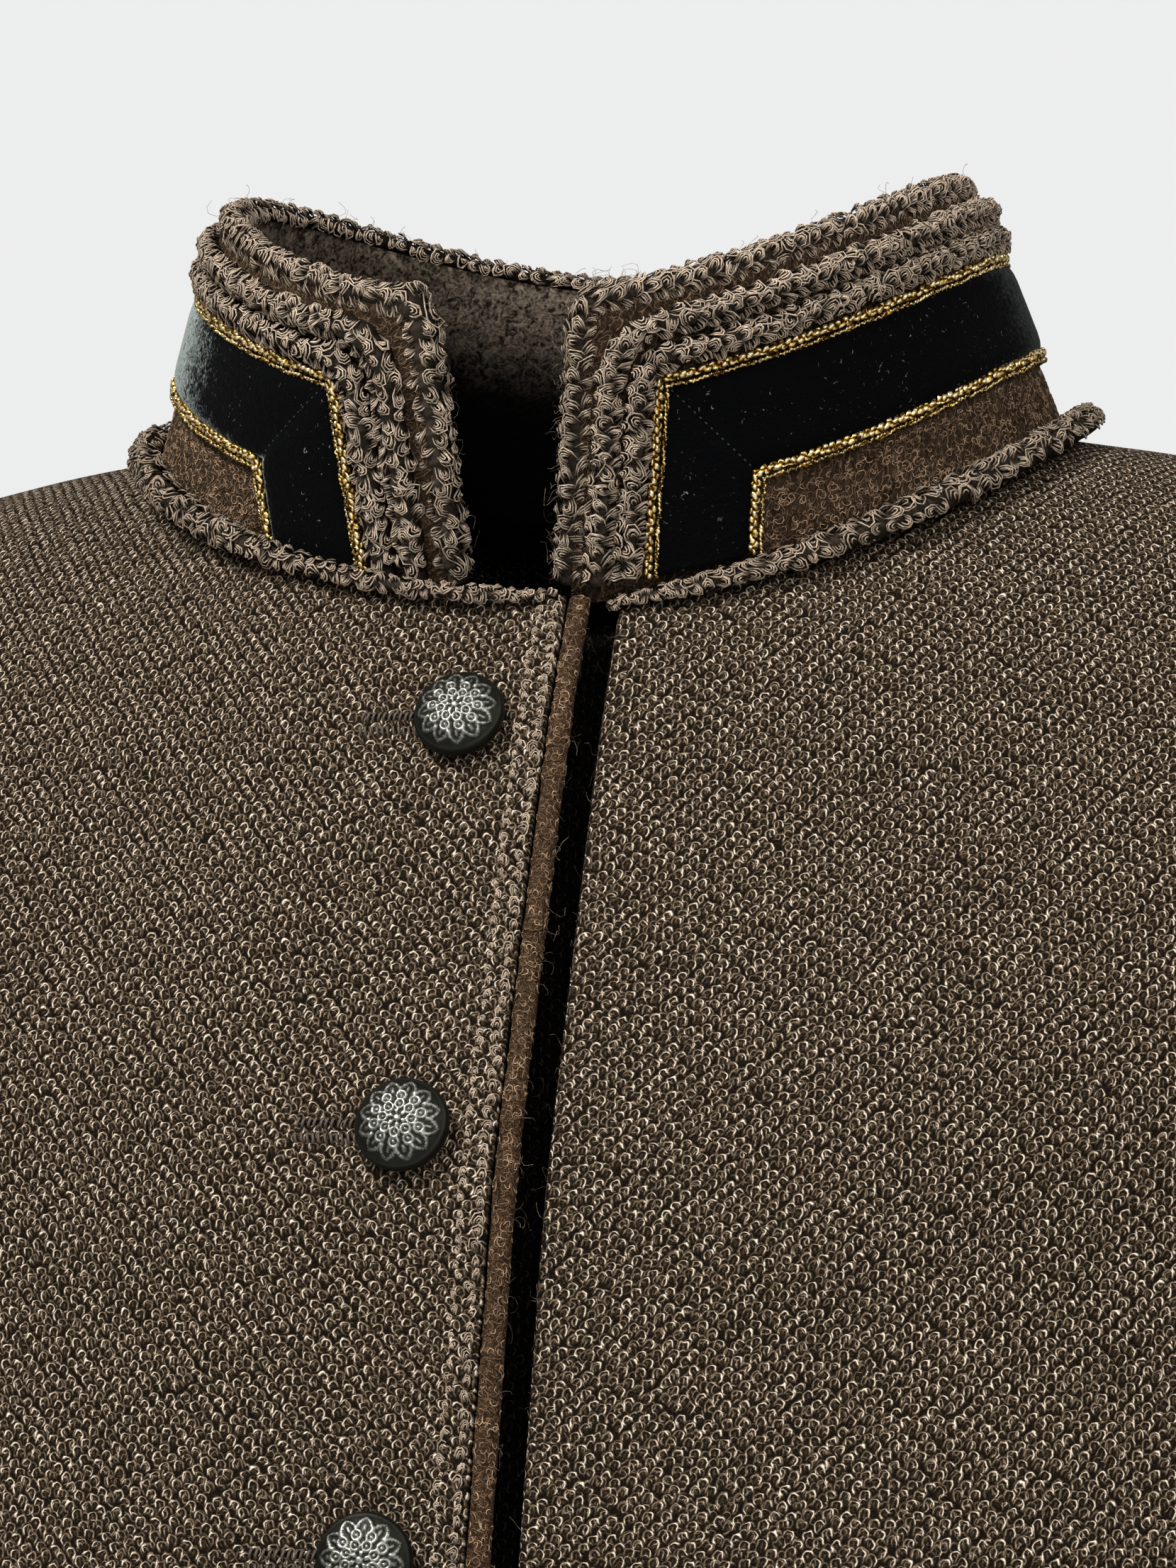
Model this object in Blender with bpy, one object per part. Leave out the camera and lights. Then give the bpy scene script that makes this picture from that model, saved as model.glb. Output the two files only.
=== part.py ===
"""A knitted trachten jacket with a trimmed stand collar, worn form, hollow.

Metres, +Z up. The front faces -Y and the wearer's left is +X. The origin is the middle of the
neckline at shoulder height, where the wearer's neck and shoulders carry the jacket.
The cloth is one family of rings, from the neckline over the shoulders and down to the hem. An angle
on a ring is 0 at the centre front, a quarter turn at the wearer's left side and half a turn at the
centre back. The fronts, the back and the collar are cut from these rings, and the sleeves grow out
of the armholes.
"""

import math

import bmesh
import bpy
import numpy as np

# Cloth and seams
KNIT = 0.0026
SEAM = 0.0004
CLEAR = 0.0003
WALL_SHARP = math.radians(50)

# Rings of the body, from the neckline to the hem
RING_COLUMNS = ("half_width", "y_front", "y_back", "z_front", "z_side", "z_back", "square")
RINGS = {
    "neck": (0.0818, -0.0600, 0.0606, -0.0304, 0.0004, -0.0110, 0.000),
    "collarbone": (0.1090, -0.0735, 0.0730, -0.0520, -0.0045, -0.0240, 0.000),
    "yoke": (0.1500, -0.0905, 0.0875, -0.0850, -0.0150, -0.0540, 0.005),
    "shoulder tip": (0.1930, -0.1065, 0.0980, -0.1180, -0.0300, -0.0950, 0.010),
    "upper armhole": (0.1970, -0.1150, 0.1040, -0.1450, -0.0860, -0.1270, 0.015),
    "mid armhole": (0.1950, -0.1225, 0.1070, -0.1730, -0.1310, -0.1570, 0.020),
    "lower armhole": (0.1880, -0.1280, 0.1080, -0.2000, -0.1730, -0.1860, 0.025),
    "armpit": (0.1770, -0.1310, 0.1070, -0.2260, -0.2110, -0.2160, 0.030),
    "underbust": (0.1690, -0.1280, 0.1030, -0.2720, -0.2620, -0.2640, 0.030),
    "midriff": (0.1590, -0.1180, 0.0960, -0.3220, -0.3150, -0.3160, 0.030),
    "waist": (0.1530, -0.1100, 0.0920, -0.3740, -0.3700, -0.3700, 0.030),
    "high hip": (0.1610, -0.1120, 0.0990, -0.4340, -0.4320, -0.4320, 0.030),
    "hip": (0.1750, -0.1190, 0.1110, -0.5040, -0.5030, -0.5030, 0.030),
    "hem": (0.1850, -0.1250, 0.1180, -0.5700, -0.5700, -0.5700, 0.030),
}
Y_SIDE = 0.004
RING_NAMES = list(RINGS)
TIP = RING_NAMES.index("shoulder tip")
ARMPIT = RING_NAMES.index("armpit")
HEM = RING_NAMES.index("hem")

# Bust, shaped by the fronts' darts
BUST_X, BUST_Z = 0.084, -0.214
BUST_SPREAD = 0.056
BUST_RISE = 0.011

# Armholes, as angles cut off the front and the back
ARMHOLE_FRONT = math.radians(35)
ARMHOLE_BACK = math.radians(29)

# Closing: the right front laps over the left
LAP_EDGE = 0.0080
LAP_LIFT = 0.0034
LAP_RAMP = (-0.070, -0.026)
UNDERLAP_EDGE = -0.022
UNDERLAP_DROP = 0.0016
GROOVE_DROP = 0.0065
GROOVE_X = (0.0010, 0.0142)
GROOVE_SLOPE = 0.0026
EDGE_RIB_WIDTH = 0.0052
EDGE_RIB_RISE = 0.0009
PIPING_RADIUS = 0.0018

# Buttons, on the right front
BUTTON_X = -0.0056
BUTTON_FIRST_Z = -0.0490
BUTTON_PITCH = 0.0632
BUTTON_COUNT = 8
BUTTON_RADIUS = 0.0075
BUTTON_EDGE = 0.0011
BUTTON_DOME = 0.0034
BUTTON_SHANK = (0.0020, 0.0006)
BUTTON_SEAT = 0.0007

# Stand collar: a felt stand outside and a knitted facing inside
STAND_BASE = dict(half_width=0.0813, depth=0.0598, y=0.0004, z_front=-0.0298, z_side=0.0009, z_back=-0.0104)
STAND_TOP = dict(half_width=0.0644, depth=0.0674, y=-0.0080, z_front=0.0198, z_side=0.0458, z_back=0.0366)
STAND_FELT = 0.0018
STAND_FACING = 0.0013
COLLAR_HEIGHT = 0.0480
LEFT_GAP = (0.0050, 0.0118)
RIGHT_GAP = (0.0090, 0.0114)
RIGHT_SPREAD = (1.17, 1.45)

# Trims on the stand, from the outline inwards
ROW_WIDTH = 0.0046
ROW_HEIGHT = 0.0032
KNOT_PITCH = 0.0043
KNOT_WAVE = 0.22
EDGE_CORNER, ROW_TWO_CORNER, ROW_THREE_CORNER = 0.0035, 0.0070, 0.0050
ROW_ONE_INSET = ROW_WIDTH / 2
ROW_TWO_INSET = 0.0073
ROW_THREE_INSET = 0.0122
CORD_WIDTH = 0.0024
CORD_HEIGHT = 0.0018
OUTER_CORD_INSET = 0.0160
INNER_CORD_INSET = 0.0334
CORD_CORNER = 0.0004
VELVET_THICK = 0.0012
TRIM_LIFT = 0.0005
TRIM_FOOT = 0.0048
STAND_HEIGHT = COLLAR_HEIGHT - ROW_WIDTH - 2 * CLEAR
WELT_SIDE = 0.0027
WELT_FRONT = 0.0014
WELT_GROWS = (math.radians(16), math.radians(50))
WELT_ENDS = (0.0141, 0.0070)
WELT_RING = 0.25
WELT_DROP = 0.001

# Sleeves: rings of the left arm below the sleeve head
SLEEVE_COLUMNS = ("x", "y", "z", "half_x", "half_y")
SLEEVE_RINGS = {
    "upper arm": (0.2330, 0.0050, -0.2500, 0.0420, 0.0600),
    "mid arm": (0.2400, 0.0040, -0.3150, 0.0410, 0.0570),
    "elbow": (0.2470, -0.0010, -0.3850, 0.0410, 0.0530),
    "forearm": (0.2540, -0.0120, -0.4600, 0.0370, 0.0460),
    "lower arm": (0.2600, -0.0250, -0.5320, 0.0330, 0.0400),
    "cuff": (0.2650, -0.0360, -0.5980, 0.0300, 0.0355),
}
HEAD_REACH = dict(top=0.105, side=0.070, under=0.046)
HEAD_DROP = dict(top=0.150, side=0.110, under=0.050)

# Largest folds: from, to, depth (below 0 is a trough) and width; mirrored ones have a twin at -x
FOLD_COLUMNS = ("start", "end", "depth", "width", "mirrored")
FOLDS = (
    ((0.150, -0.075, -0.225), (0.105, -0.118, -0.285), -0.0040, 0.016, True),
    ((0.163, -0.050, -0.240), (0.128, -0.095, -0.320), -0.0032, 0.018, True),
    ((0.160, 0.060, -0.235), (0.110, 0.095, -0.300), -0.0036, 0.018, True),
    ((0.150, -0.045, -0.352), (0.085, -0.100, -0.372), -0.0044, 0.018, True),
    ((0.150, 0.040, -0.340), (0.075, 0.085, -0.366), -0.0048, 0.019, False),
    ((-0.150, 0.035, -0.355), (-0.060, 0.088, -0.340), -0.0040, 0.018, False),
    ((0.060, 0.105, -0.395), (0.075, 0.118, -0.560), 0.0050, 0.030, False),
    ((-0.050, 0.105, -0.400), (-0.085, 0.118, -0.560), 0.0044, 0.027, False),
    ((0.125, -0.085, -0.420), (0.140, -0.090, -0.565), 0.0048, 0.028, True),
    ((0.205, -0.030, -0.350), (0.262, -0.052, -0.372), -0.0050, 0.014, True),
    ((0.210, -0.040, -0.392), (0.265, -0.055, -0.398), -0.0042, 0.014, False),
    ((-0.208, -0.036, -0.400), (-0.262, -0.056, -0.388), -0.0046, 0.014, False),
    ((0.275, 0.030, -0.350), (0.240, 0.058, -0.388), -0.0030, 0.016, True),
    ((0.205, 0.000, -0.290), (0.240, -0.058, -0.268), -0.0038, 0.016, True),
    ((0.225, -0.045, -0.470), (0.280, -0.050, -0.488), -0.0034, 0.014, True),
)

# Resolution of the solids, and the fronts' first columns, measured from their edges
LAP_COLUMNS = (0.0, EDGE_RIB_WIDTH / 2, EDGE_RIB_WIDTH, 0.014)
UNDERLAP_COLUMNS = (0.0, 0.018, 0.026, 0.0358, 0.0388, 0.044)
YOKE_ROWS, ARMHOLE_ROWS, SKIRT_ROWS = 7, 10, 12
FRONT_COLUMNS, BACK_COLUMNS = 9, 17
HEAD_ROWS, ARM_ROWS = 7, 11
COLLAR_COLUMNS = 51
WELT_POINTS, WELT_SIDES = 48, 5
CORD_POINTS, ROW_POINTS, CORD_SIDES = 76, 85, 4

MATERIALS = {
    "knit": ((0.115, 0.088, 0.066), 0.95, 0.0),
    "crochet": ((0.105, 0.082, 0.064), 0.95, 0.0),
    "facing": ((0.055, 0.043, 0.034), 0.95, 0.0),
    "felt": ((0.085, 0.056, 0.036), 0.95, 0.0),
    "velvet": ((0.004, 0.004, 0.005), 0.90, 0.0),
    "gold_cord": ((0.55, 0.38, 0.10), 0.35, 1.0),
    "antique_metal": ((0.055, 0.048, 0.038), 0.40, 0.8),
}


def clear_scene():
    for obj in list(bpy.data.objects):
        bpy.data.objects.remove(obj)


def material(name):
    """The named finish, as a Principled BSDF."""
    found = bpy.data.materials.get(name)
    if found:
        return found
    colour, roughness, metallic = MATERIALS[name]
    made = bpy.data.materials.new(name)
    made.use_nodes = True
    shader = made.node_tree.nodes["Principled BSDF"]
    shader.inputs["Base Color"].default_value = (*colour, 1.0)
    shader.inputs["Roughness"].default_value = roughness
    shader.inputs["Metallic"].default_value = metallic
    return made


def smoothstep(value, low, high):
    """0 below low, 1 above high, and a smooth rise between."""
    share = np.clip((value - low) / (high - low), 0.0, 1.0)
    return share * share * (3.0 - 2.0 * share)


def through(rows, at):
    """A Catmull-Rom curve through the rows of a table, read at positions counted in rows."""
    rows = np.asarray(rows, float)
    at = np.clip(np.asarray(at, float), 0.0, len(rows) - 1.0)
    low = np.minimum(at.astype(int), len(rows) - 2)
    share = (at - low)[..., None]
    before = rows[np.maximum(low - 1, 0)]
    here, after = rows[low], rows[low + 1]
    beyond = rows[np.minimum(low + 2, len(rows) - 1)]
    slope_in = np.where((low == 0)[..., None], after - here, (after - before) / 2)
    slope_out = np.where((low == len(rows) - 2)[..., None], after - here, (beyond - here) / 2)
    square, cube = share**2, share**3
    return (
        (2 * cube - 3 * square + 1) * here
        + (cube - 2 * square + share) * slope_in
        + (3 * square - 2 * cube) * after
        + (cube - square) * slope_out
    )


def table_at(table, columns, at):
    """The table's columns by name, each read on a smooth curve at positions counted in rows."""
    return dict(zip(columns, np.moveaxis(through(list(table.values()), at), -1, 0)))


def unit(vectors):
    return vectors / np.linalg.norm(vectors, axis=-1, keepdims=True)


def side_wave(front, side, back, angle):
    """A height that is front, side and back at those angles of a ring, and smooth between."""
    middle = (front + back) / 2
    return (middle + side) / 2 + (front - back) / 2 * np.cos(angle) + (middle - side) / 2 * np.cos(2 * angle)


def body_point(angle, ring):
    """The cloth's outer face, before folds, at an angle of a ring; ring counts rows of RINGS."""
    angle, ring = np.broadcast_arrays(np.asarray(angle, float), np.asarray(ring, float))
    size = table_at(RINGS, RING_COLUMNS, ring)
    square = size["square"]
    x = size["half_width"] * (np.sin(angle) + square * np.sin(3 * angle)) / (1 - square)
    inward = (np.cos(angle) - square * np.cos(3 * angle)) / (1 - square)
    y = Y_SIDE + np.where(inward > 0, size["y_front"] - Y_SIDE, Y_SIDE - size["y_back"]) * inward
    z = side_wave(size["z_front"], size["z_side"], size["z_back"], angle)
    cup = np.exp(-((np.abs(x) - BUST_X) ** 2 + (z - BUST_Z) ** 2) / BUST_SPREAD**2)
    y = y - BUST_RISE * cup * smoothstep(-y, 0.02, 0.09)
    return np.stack([x, y, z], axis=-1)


def body_normal(angle, ring):
    """The outward normal of body_point, from small steps along and across the ring."""
    step = 1e-3
    ring = np.asarray(ring, float)
    low, high = np.maximum(ring - step, 0.0), np.minimum(ring + step, float(HEM))
    along = body_point(angle + step, ring) - body_point(angle - step, ring)
    down = body_point(angle, high) - body_point(angle, low)
    return unit(np.cross(down, along))


def fold_height(points):
    """How far the folds move the cloth outwards: each is a Gaussian ridge or trough along a line."""
    total = np.zeros(points.shape[:-1])
    for row in FOLDS:
        fold = dict(zip(FOLD_COLUMNS, row))
        for side in (1, -1) if fold["mirrored"] else (1,):
            first, last = np.array(fold["start"]) * (side, 1, 1), np.array(fold["end"]) * (side, 1, 1)
            line = last - first
            share = np.clip(((points - first) @ line) / (line @ line), 0.0, 1.0)
            away = np.linalg.norm(points - first - share[..., None] * line, axis=-1)
            total += fold["depth"] * np.exp(-((away / fold["width"]) ** 2))
    return total


def folded(points, normals, extra=0.0):
    return points + normals * (fold_height(points) + extra)[..., None]


def mesh_object(name, points, faces, finish):
    """A closed solid from its points and faces, with its faces turned outwards."""
    mesh = bpy.data.meshes.new(name)
    mesh.from_pydata([tuple(p) for p in points], [], faces)
    shape = bmesh.new()
    shape.from_mesh(mesh)
    bmesh.ops.recalc_face_normals(shape, faces=shape.faces)
    shape.to_mesh(mesh)
    shape.free()
    mesh.shade_smooth()
    mesh.set_sharp_from_angle(angle=WALL_SHARP)
    mesh.materials.append(material(finish))
    bpy.context.scene.collection.objects.link(bpy.data.objects.new(name, mesh))


def wall(name, outer, inner, finish, joined=False, kept=None):
    """A closed cloth wall between two grids of points, rows by columns, seen from outside.

    A joined one has its last column next to its first. kept marks the cells that the piece holds, where it is
    not the whole grid. The rim runs wherever a kept cell has no kept neighbour.
    """
    rows, columns = outer.shape[:2]
    wide = columns if joined else columns - 1
    kept = np.ones((rows - 1, wide), bool) if kept is None else kept
    at = np.arange(rows * columns).reshape(rows, columns)
    below = rows * columns
    faces = []
    for i, j in zip(*np.nonzero(kept)):
        k = (j + 1) % columns
        corners = (at[i, j], at[i + 1, j], at[i + 1, k], at[i, k])
        faces.append(corners)
        faces.append(tuple(below + c for c in reversed(corners)))
        sides = (
            (i, j - 1, corners[0], corners[1]),
            (i + 1, j, corners[1], corners[2]),
            (i, j + 1, corners[2], corners[3]),
            (i - 1, j, corners[3], corners[0]),
        )
        for row, column, first, last in sides:
            column = column % wide if joined else column
            inside = 0 <= row < rows - 1 and 0 <= column < wide and kept[row, column]
            if not inside:
                faces.append((first, below + first, below + last, last))
    points = np.concatenate([outer.reshape(-1, 3), inner.reshape(-1, 3)])
    used = np.unique([c for face in faces for c in face])
    place = np.zeros(len(points), int)
    place[used] = np.arange(len(used))
    mesh_object(name, points[used], [tuple(int(place[c]) for c in face) for face in faces], finish)


def tube(name, centre, across, out, finish, sides):
    """A closed solid swept along centre, with half widths across and out as vectors at each point."""
    turn = np.arange(sides) * 2 * math.pi / sides + math.pi / sides
    ring = (
        centre[:, None]
        + np.cos(turn)[None, :, None] * across[:, None]
        + np.sin(turn)[None, :, None] * out[:, None]
    )
    count = len(centre)
    points = ring.reshape(-1, 3)
    faces = [tuple(reversed(range(sides))), tuple(range((count - 1) * sides, count * sides))]
    for i in range(count - 1):
        for j in range(sides):
            k = (j + 1) % sides
            faces.append((i * sides + j, i * sides + k, (i + 1) * sides + k, (i + 1) * sides + j))
    mesh_object(name, points, faces, finish)


def ring_rows():
    """Where the rows of the body's grids lie, closest at the top and bottom of the armhole."""
    yoke = np.linspace(0.0, TIP, YOKE_ROWS + 1)[:-1]
    turn = np.linspace(0.0, math.pi, ARMHOLE_ROWS + 1)
    armhole = TIP + (ARMPIT - TIP) * (1 - np.cos(turn)) / 2
    skirt = np.linspace(ARMPIT, HEM, SKIRT_ROWS + 1)[1:]
    return np.concatenate([yoke, armhole, skirt])


def armhole_cut(rows, widest):
    """The angle that the armhole takes off a panel's side at each row: an ellipse over the rows."""
    share = np.clip((rows - TIP) / (ARMPIT - TIP), 0.0, 1.0)
    return widest * np.sqrt(4 * share * (1 - share))


def seam_angle(rows):
    """Half the seam's gap, as an angle at the side of a ring."""
    return SEAM / 2 / (table_at(RINGS, RING_COLUMNS, rows)["y_back"] - Y_SIDE)


def edge_angle(x, rows):
    """The angle where a front's edge at this x crosses each ring."""
    return np.arcsin(x / table_at(RINGS, RING_COLUMNS, rows)["half_width"])


def lap_height(x):
    """How far the right front is raised, to lie over the left."""
    return LAP_LIFT * smoothstep(x, *LAP_RAMP)


def groove_height(x):
    """How far the left front is lowered under the right, with a groove beside the piping."""
    under = UNDERLAP_DROP * (1 - smoothstep(x, *GROOVE_X))
    inner = smoothstep(x, GROOVE_X[0] - 2 * GROOVE_SLOPE, GROOVE_X[0])
    outer = 1 - smoothstep(x, GROOVE_X[1], GROOVE_X[1] + GROOVE_SLOPE)
    return -under - (GROOVE_DROP * inner * outer)


def front_grid(side):
    """The angles and rings of a front's grid; side is 1 for the wearer's left and -1 for the right."""
    rows = ring_rows()
    outer = math.pi / 2 - armhole_cut(rows, ARMHOLE_FRONT) - seam_angle(rows)
    if side > 0:
        steps = [edge_angle(UNDERLAP_EDGE + d, rows) for d in UNDERLAP_COLUMNS]
    else:
        steps = [edge_angle(-LAP_EDGE + d, rows) for d in LAP_COLUMNS]
    start = steps[-1]
    spread = np.linspace(0.0, 1.0, FRONT_COLUMNS)[1:]
    grid = np.stack([*steps, *(start + (outer - start) * s for s in spread)], axis=1)
    return side * grid, np.repeat(rows[:, None], grid.shape[1], axis=1)


def front(side):
    """One front: its outer and inner points, lapped at the centre and folded."""
    angle, ring = front_grid(side)
    if side < 0:
        angle, ring = angle[:, ::-1], ring[:, ::-1]
    base, normal = body_point(angle, ring), body_normal(angle, ring)
    x = base[..., 0]
    if side > 0:
        outer = folded(base, normal, groove_height(x))
        inner = outer - normal * KNIT
    else:
        rib_share = np.clip((LAP_EDGE - x) / EDGE_RIB_WIDTH, 0.0, 1.0)
        inner = folded(base, normal, lap_height(x)) - normal * KNIT
        outer = inner + normal * (KNIT + EDGE_RIB_RISE * np.sin(math.pi * rib_share))[..., None]
    return outer, inner


def make_fronts():
    for name, side in (("front_left", 1), ("front_right", -1)):
        outer, inner = front(side)
        wall(name, outer, inner, "knit")


def make_back():
    rows = ring_rows()
    cut = armhole_cut(rows, ARMHOLE_BACK) + seam_angle(rows)
    share = np.linspace(0.0, 1.0, BACK_COLUMNS)
    first, last = math.pi / 2 + cut, 3 * math.pi / 2 - cut
    angle = first[:, None] + (last - first)[:, None] * share
    ring = np.repeat(rows[:, None], BACK_COLUMNS, axis=1)
    base, normal = body_point(angle, ring), body_normal(angle, ring)
    outer = folded(base, normal)
    wall("back", outer, outer - normal * KNIT, "knit")


def armhole_loop():
    """The left armhole as a closed loop from the shoulder tip down the front and up the back.

    Returns the points, the cloth's normals and the directions that lead off the body across the edge.
    """
    turn = np.linspace(0.0, 2 * math.pi, 2 * ARMHOLE_ROWS + 1)[:-1]
    share = (1 - np.cos(turn)) / 2
    ring = TIP + (ARMPIT - TIP) * share
    widest = np.where(turn < math.pi, ARMHOLE_FRONT, -ARMHOLE_BACK)
    angle = math.pi / 2 - widest * np.sqrt(4 * share * (1 - share))
    point, normal = body_point(angle, ring), body_normal(angle, ring)
    along = unit(np.roll(point, -1, axis=0) - np.roll(point, 1, axis=0))
    return point, normal, unit(np.cross(normal, along)), turn


def by_side(sizes, turn):
    """A size that is top, side and under around the loop, and smooth between."""
    return side_wave(sizes["top"], sizes["side"], sizes["under"], turn)


def sleeve_surface():
    """The left sleeve's outer face as a grid: rings by points round, from the armhole to the cuff."""
    start, normal, off_body, turn = armhole_loop()
    start = start + off_body * SEAM

    def arm_ring(at):
        size = table_at(SLEEVE_RINGS, SLEEVE_COLUMNS, at)
        x = size["x"] + size["half_x"] * np.cos(turn)
        return np.stack([x, size["y"] - size["half_y"] * np.sin(turn), size["z"]], axis=-1)

    end = arm_ring(0.0 * turn)
    down = unit(arm_ring(0.0 * turn + 0.05) - end)
    leave = off_body * by_side(HEAD_REACH, turn)[:, None]
    arrive = down * by_side(HEAD_DROP, turn)[:, None]
    rings = []
    for s in np.linspace(0.0, 1.0, HEAD_ROWS + 1):
        rings.append(
            (2 * s**3 - 3 * s**2 + 1) * start
            + (s**3 - 2 * s**2 + s) * leave
            + (3 * s**2 - 2 * s**3) * end
            + (s**3 - s**2) * arrive
        )
    for at in np.linspace(0.0, len(SLEEVE_RINGS) - 1.0, ARM_ROWS + 1)[1:]:
        rings.append(arm_ring(at + 0.0 * turn))
    return np.array(rings), normal


def grid_normals(grid):
    """Outward normals of a grid of rings whose last column joins its first."""
    around = np.roll(grid, -1, axis=1) - np.roll(grid, 1, axis=1)
    down = np.gradient(grid, axis=0)
    return unit(np.cross(around, down))


def make_sleeves():
    grid, first_normal = sleeve_surface()
    normal = grid_normals(grid)
    if np.einsum("ij,ij->", normal[0], first_normal) < 0:
        normal = -normal
    normal[0] = first_normal
    outer = folded(grid, normal)
    inner = outer - normal * KNIT
    mirror = np.array([-1.0, 1.0, 1.0])
    wall("sleeve_left", outer[:, ::-1], inner[:, ::-1], "knit", joined=True)
    right = folded(grid * mirror, normal * mirror)
    wall("sleeve_right", right, right - normal * mirror * KNIT, "knit", joined=True)


def stand_ring(sizes, angle):
    """A ring of the stand: an ellipse seen from above, with its height following the neckline."""
    x = sizes["half_width"] * np.sin(angle)
    y = sizes["y"] - sizes["depth"] * np.cos(angle)
    return np.stack([x, y, side_wave(sizes["z_front"], sizes["z_side"], sizes["z_back"], angle)], axis=-1)


def stand_point(angle, height):
    """The stand's outer face at an angle and a height above the seam, on straight lines."""
    share = (np.asarray(height, float) / COLLAR_HEIGHT)[..., None]
    return stand_ring(STAND_BASE, angle) * (1 - share) + stand_ring(STAND_TOP, angle) * share


def stand_normal(angle, height):
    step = 1e-4
    along = stand_point(angle + step, height) - stand_point(angle - step, height)
    up = stand_point(angle, height + step) - stand_point(angle, height - step)
    return unit(np.cross(along, up))


def half_gap(height, side):
    """From the centre front to the collar's outline, which opens towards the top."""
    base, top = LEFT_GAP if side > 0 else RIGHT_GAP
    return base + (top - base) * height / COLLAR_HEIGHT


def spread(height, side):
    """How much wider the trims lie beside the right front edge than beside the left one."""
    low, high = (1.0, 1.0) if side > 0 else RIGHT_SPREAD
    return low + (high - low) * height / COLLAR_HEIGHT


def from_edge(inset, height, side):
    """The distance from the centre front of a line that keeps its inset from the outline."""
    return half_gap(height, side) + inset * spread(height, side)


def angle_at(distance, height):
    """The angle at a distance round the stand from the centre front, at that height."""
    dense = np.linspace(0.0, 2 * math.pi, 721)
    found = np.empty(np.broadcast(distance, height).shape)
    distance, height = np.broadcast_arrays(distance, height)
    for level in np.unique(height):
        line = stand_point(dense, np.full(dense.shape, level))
        length = np.concatenate([[0.0], np.cumsum(np.linalg.norm(np.diff(line, axis=0), axis=1))])
        here = height == level
        found[here] = np.interp(distance[here], length, dense)
    return found


def girth(height):
    dense = np.linspace(0.0, 2 * math.pi, 721)
    line = stand_point(dense, np.full(dense.shape, height))
    return float(np.linalg.norm(np.diff(line, axis=0), axis=1).sum())


def leg(inset, top, foot, corner, side):
    """The part of a trim's route beside one front edge, from the foot round the corner.

    Returns distances from the centre front and heights.
    """
    turn = np.linspace(0.0, math.pi / 2, 7)[1:]
    heights = np.concatenate([np.linspace(foot, top - corner, 9), top - corner + corner * np.sin(turn)])
    bend = np.concatenate([np.zeros(9), corner * (1 - np.cos(turn))])
    return from_edge(inset, heights, side) + bend, heights


def trim_path(inset, top, foot, corner, count):
    """A trim's route: up beside the left edge, round the neck and down beside the right edge.

    Returns angles, heights and how wide the trim is there, at equal steps along it, and its length.
    """
    left, heights = leg(inset, top, foot, corner, 1)
    right, _ = leg(inset, top, foot, corner, -1)
    level = np.linspace(left[-1], girth(top) - right[-1], 241)[1:-1]
    angle = np.concatenate([
        angle_at(left, heights),
        angle_at(level, np.full(level.shape, top)),
        2 * math.pi - angle_at(right, heights)[::-1],
    ])
    wide = np.concatenate([spread(heights, 1), np.ones(level.shape), spread(heights, -1)[::-1]])
    height = np.concatenate([heights, np.full(level.shape, top), heights[::-1]])
    line = stand_point(angle, height)
    length = np.concatenate([[0.0], np.cumsum(np.linalg.norm(np.diff(line, axis=0), axis=1))])
    at = np.linspace(0.0, length[-1], count)
    angle, height, wide = (np.interp(at, length, values) for values in (angle, height, wide))
    return angle, height, wide, length[-1]


def trim_tube(name, inset, top, corner, lift, size, finish, count, knots=0.0):
    """A trim swept along its route, lift off the stand's face, with knots as waves in its size."""
    angle, height, wide, _ = trim_path(inset, top, TRIM_FOOT, corner, count)
    normal = stand_normal(angle, height)
    centre = stand_point(angle, height) + normal * lift
    across = unit(np.cross(np.gradient(centre, axis=0), normal))
    wave = 1 - knots * (np.arange(count) % 2)
    half_across, half_out = size[0] / 2 * wave * wide, size[1] / 2 * wave
    tube(name, centre, across * half_across[:, None], normal * half_out[:, None], finish, CORD_SIDES)


def collar_grid(heights, near, columns):
    """Angles of a collar piece's grid, from near the left edge round to near the right edge."""
    rows = []
    for height in heights:
        start, stop = from_edge(near, height, 1), girth(height) - from_edge(near, height, -1)
        distance = np.linspace(start, stop, columns)
        rows.append(angle_at(distance, np.full(columns, height)))
    return np.array(rows)


def make_stand():
    """The felt stand and the knitted facing behind it, inside the outermost row of the trim."""
    heights = np.array([0.0, STAND_HEIGHT / 2, STAND_HEIGHT])
    angle = collar_grid(heights, ROW_WIDTH + CLEAR, COLLAR_COLUMNS)
    height = np.repeat(heights[:, None], COLLAR_COLUMNS, axis=1)
    outer, normal = stand_point(angle, height), stand_normal(angle, height)
    wall("collar_stand", outer, outer - normal * STAND_FELT, "felt")
    keep = slice(None, None, 2)
    back = (outer - normal * (STAND_FELT + 2 * CLEAR))[:, keep]
    wall("collar_facing", back, back - normal[:, keep] * STAND_FACING, "facing")


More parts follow.
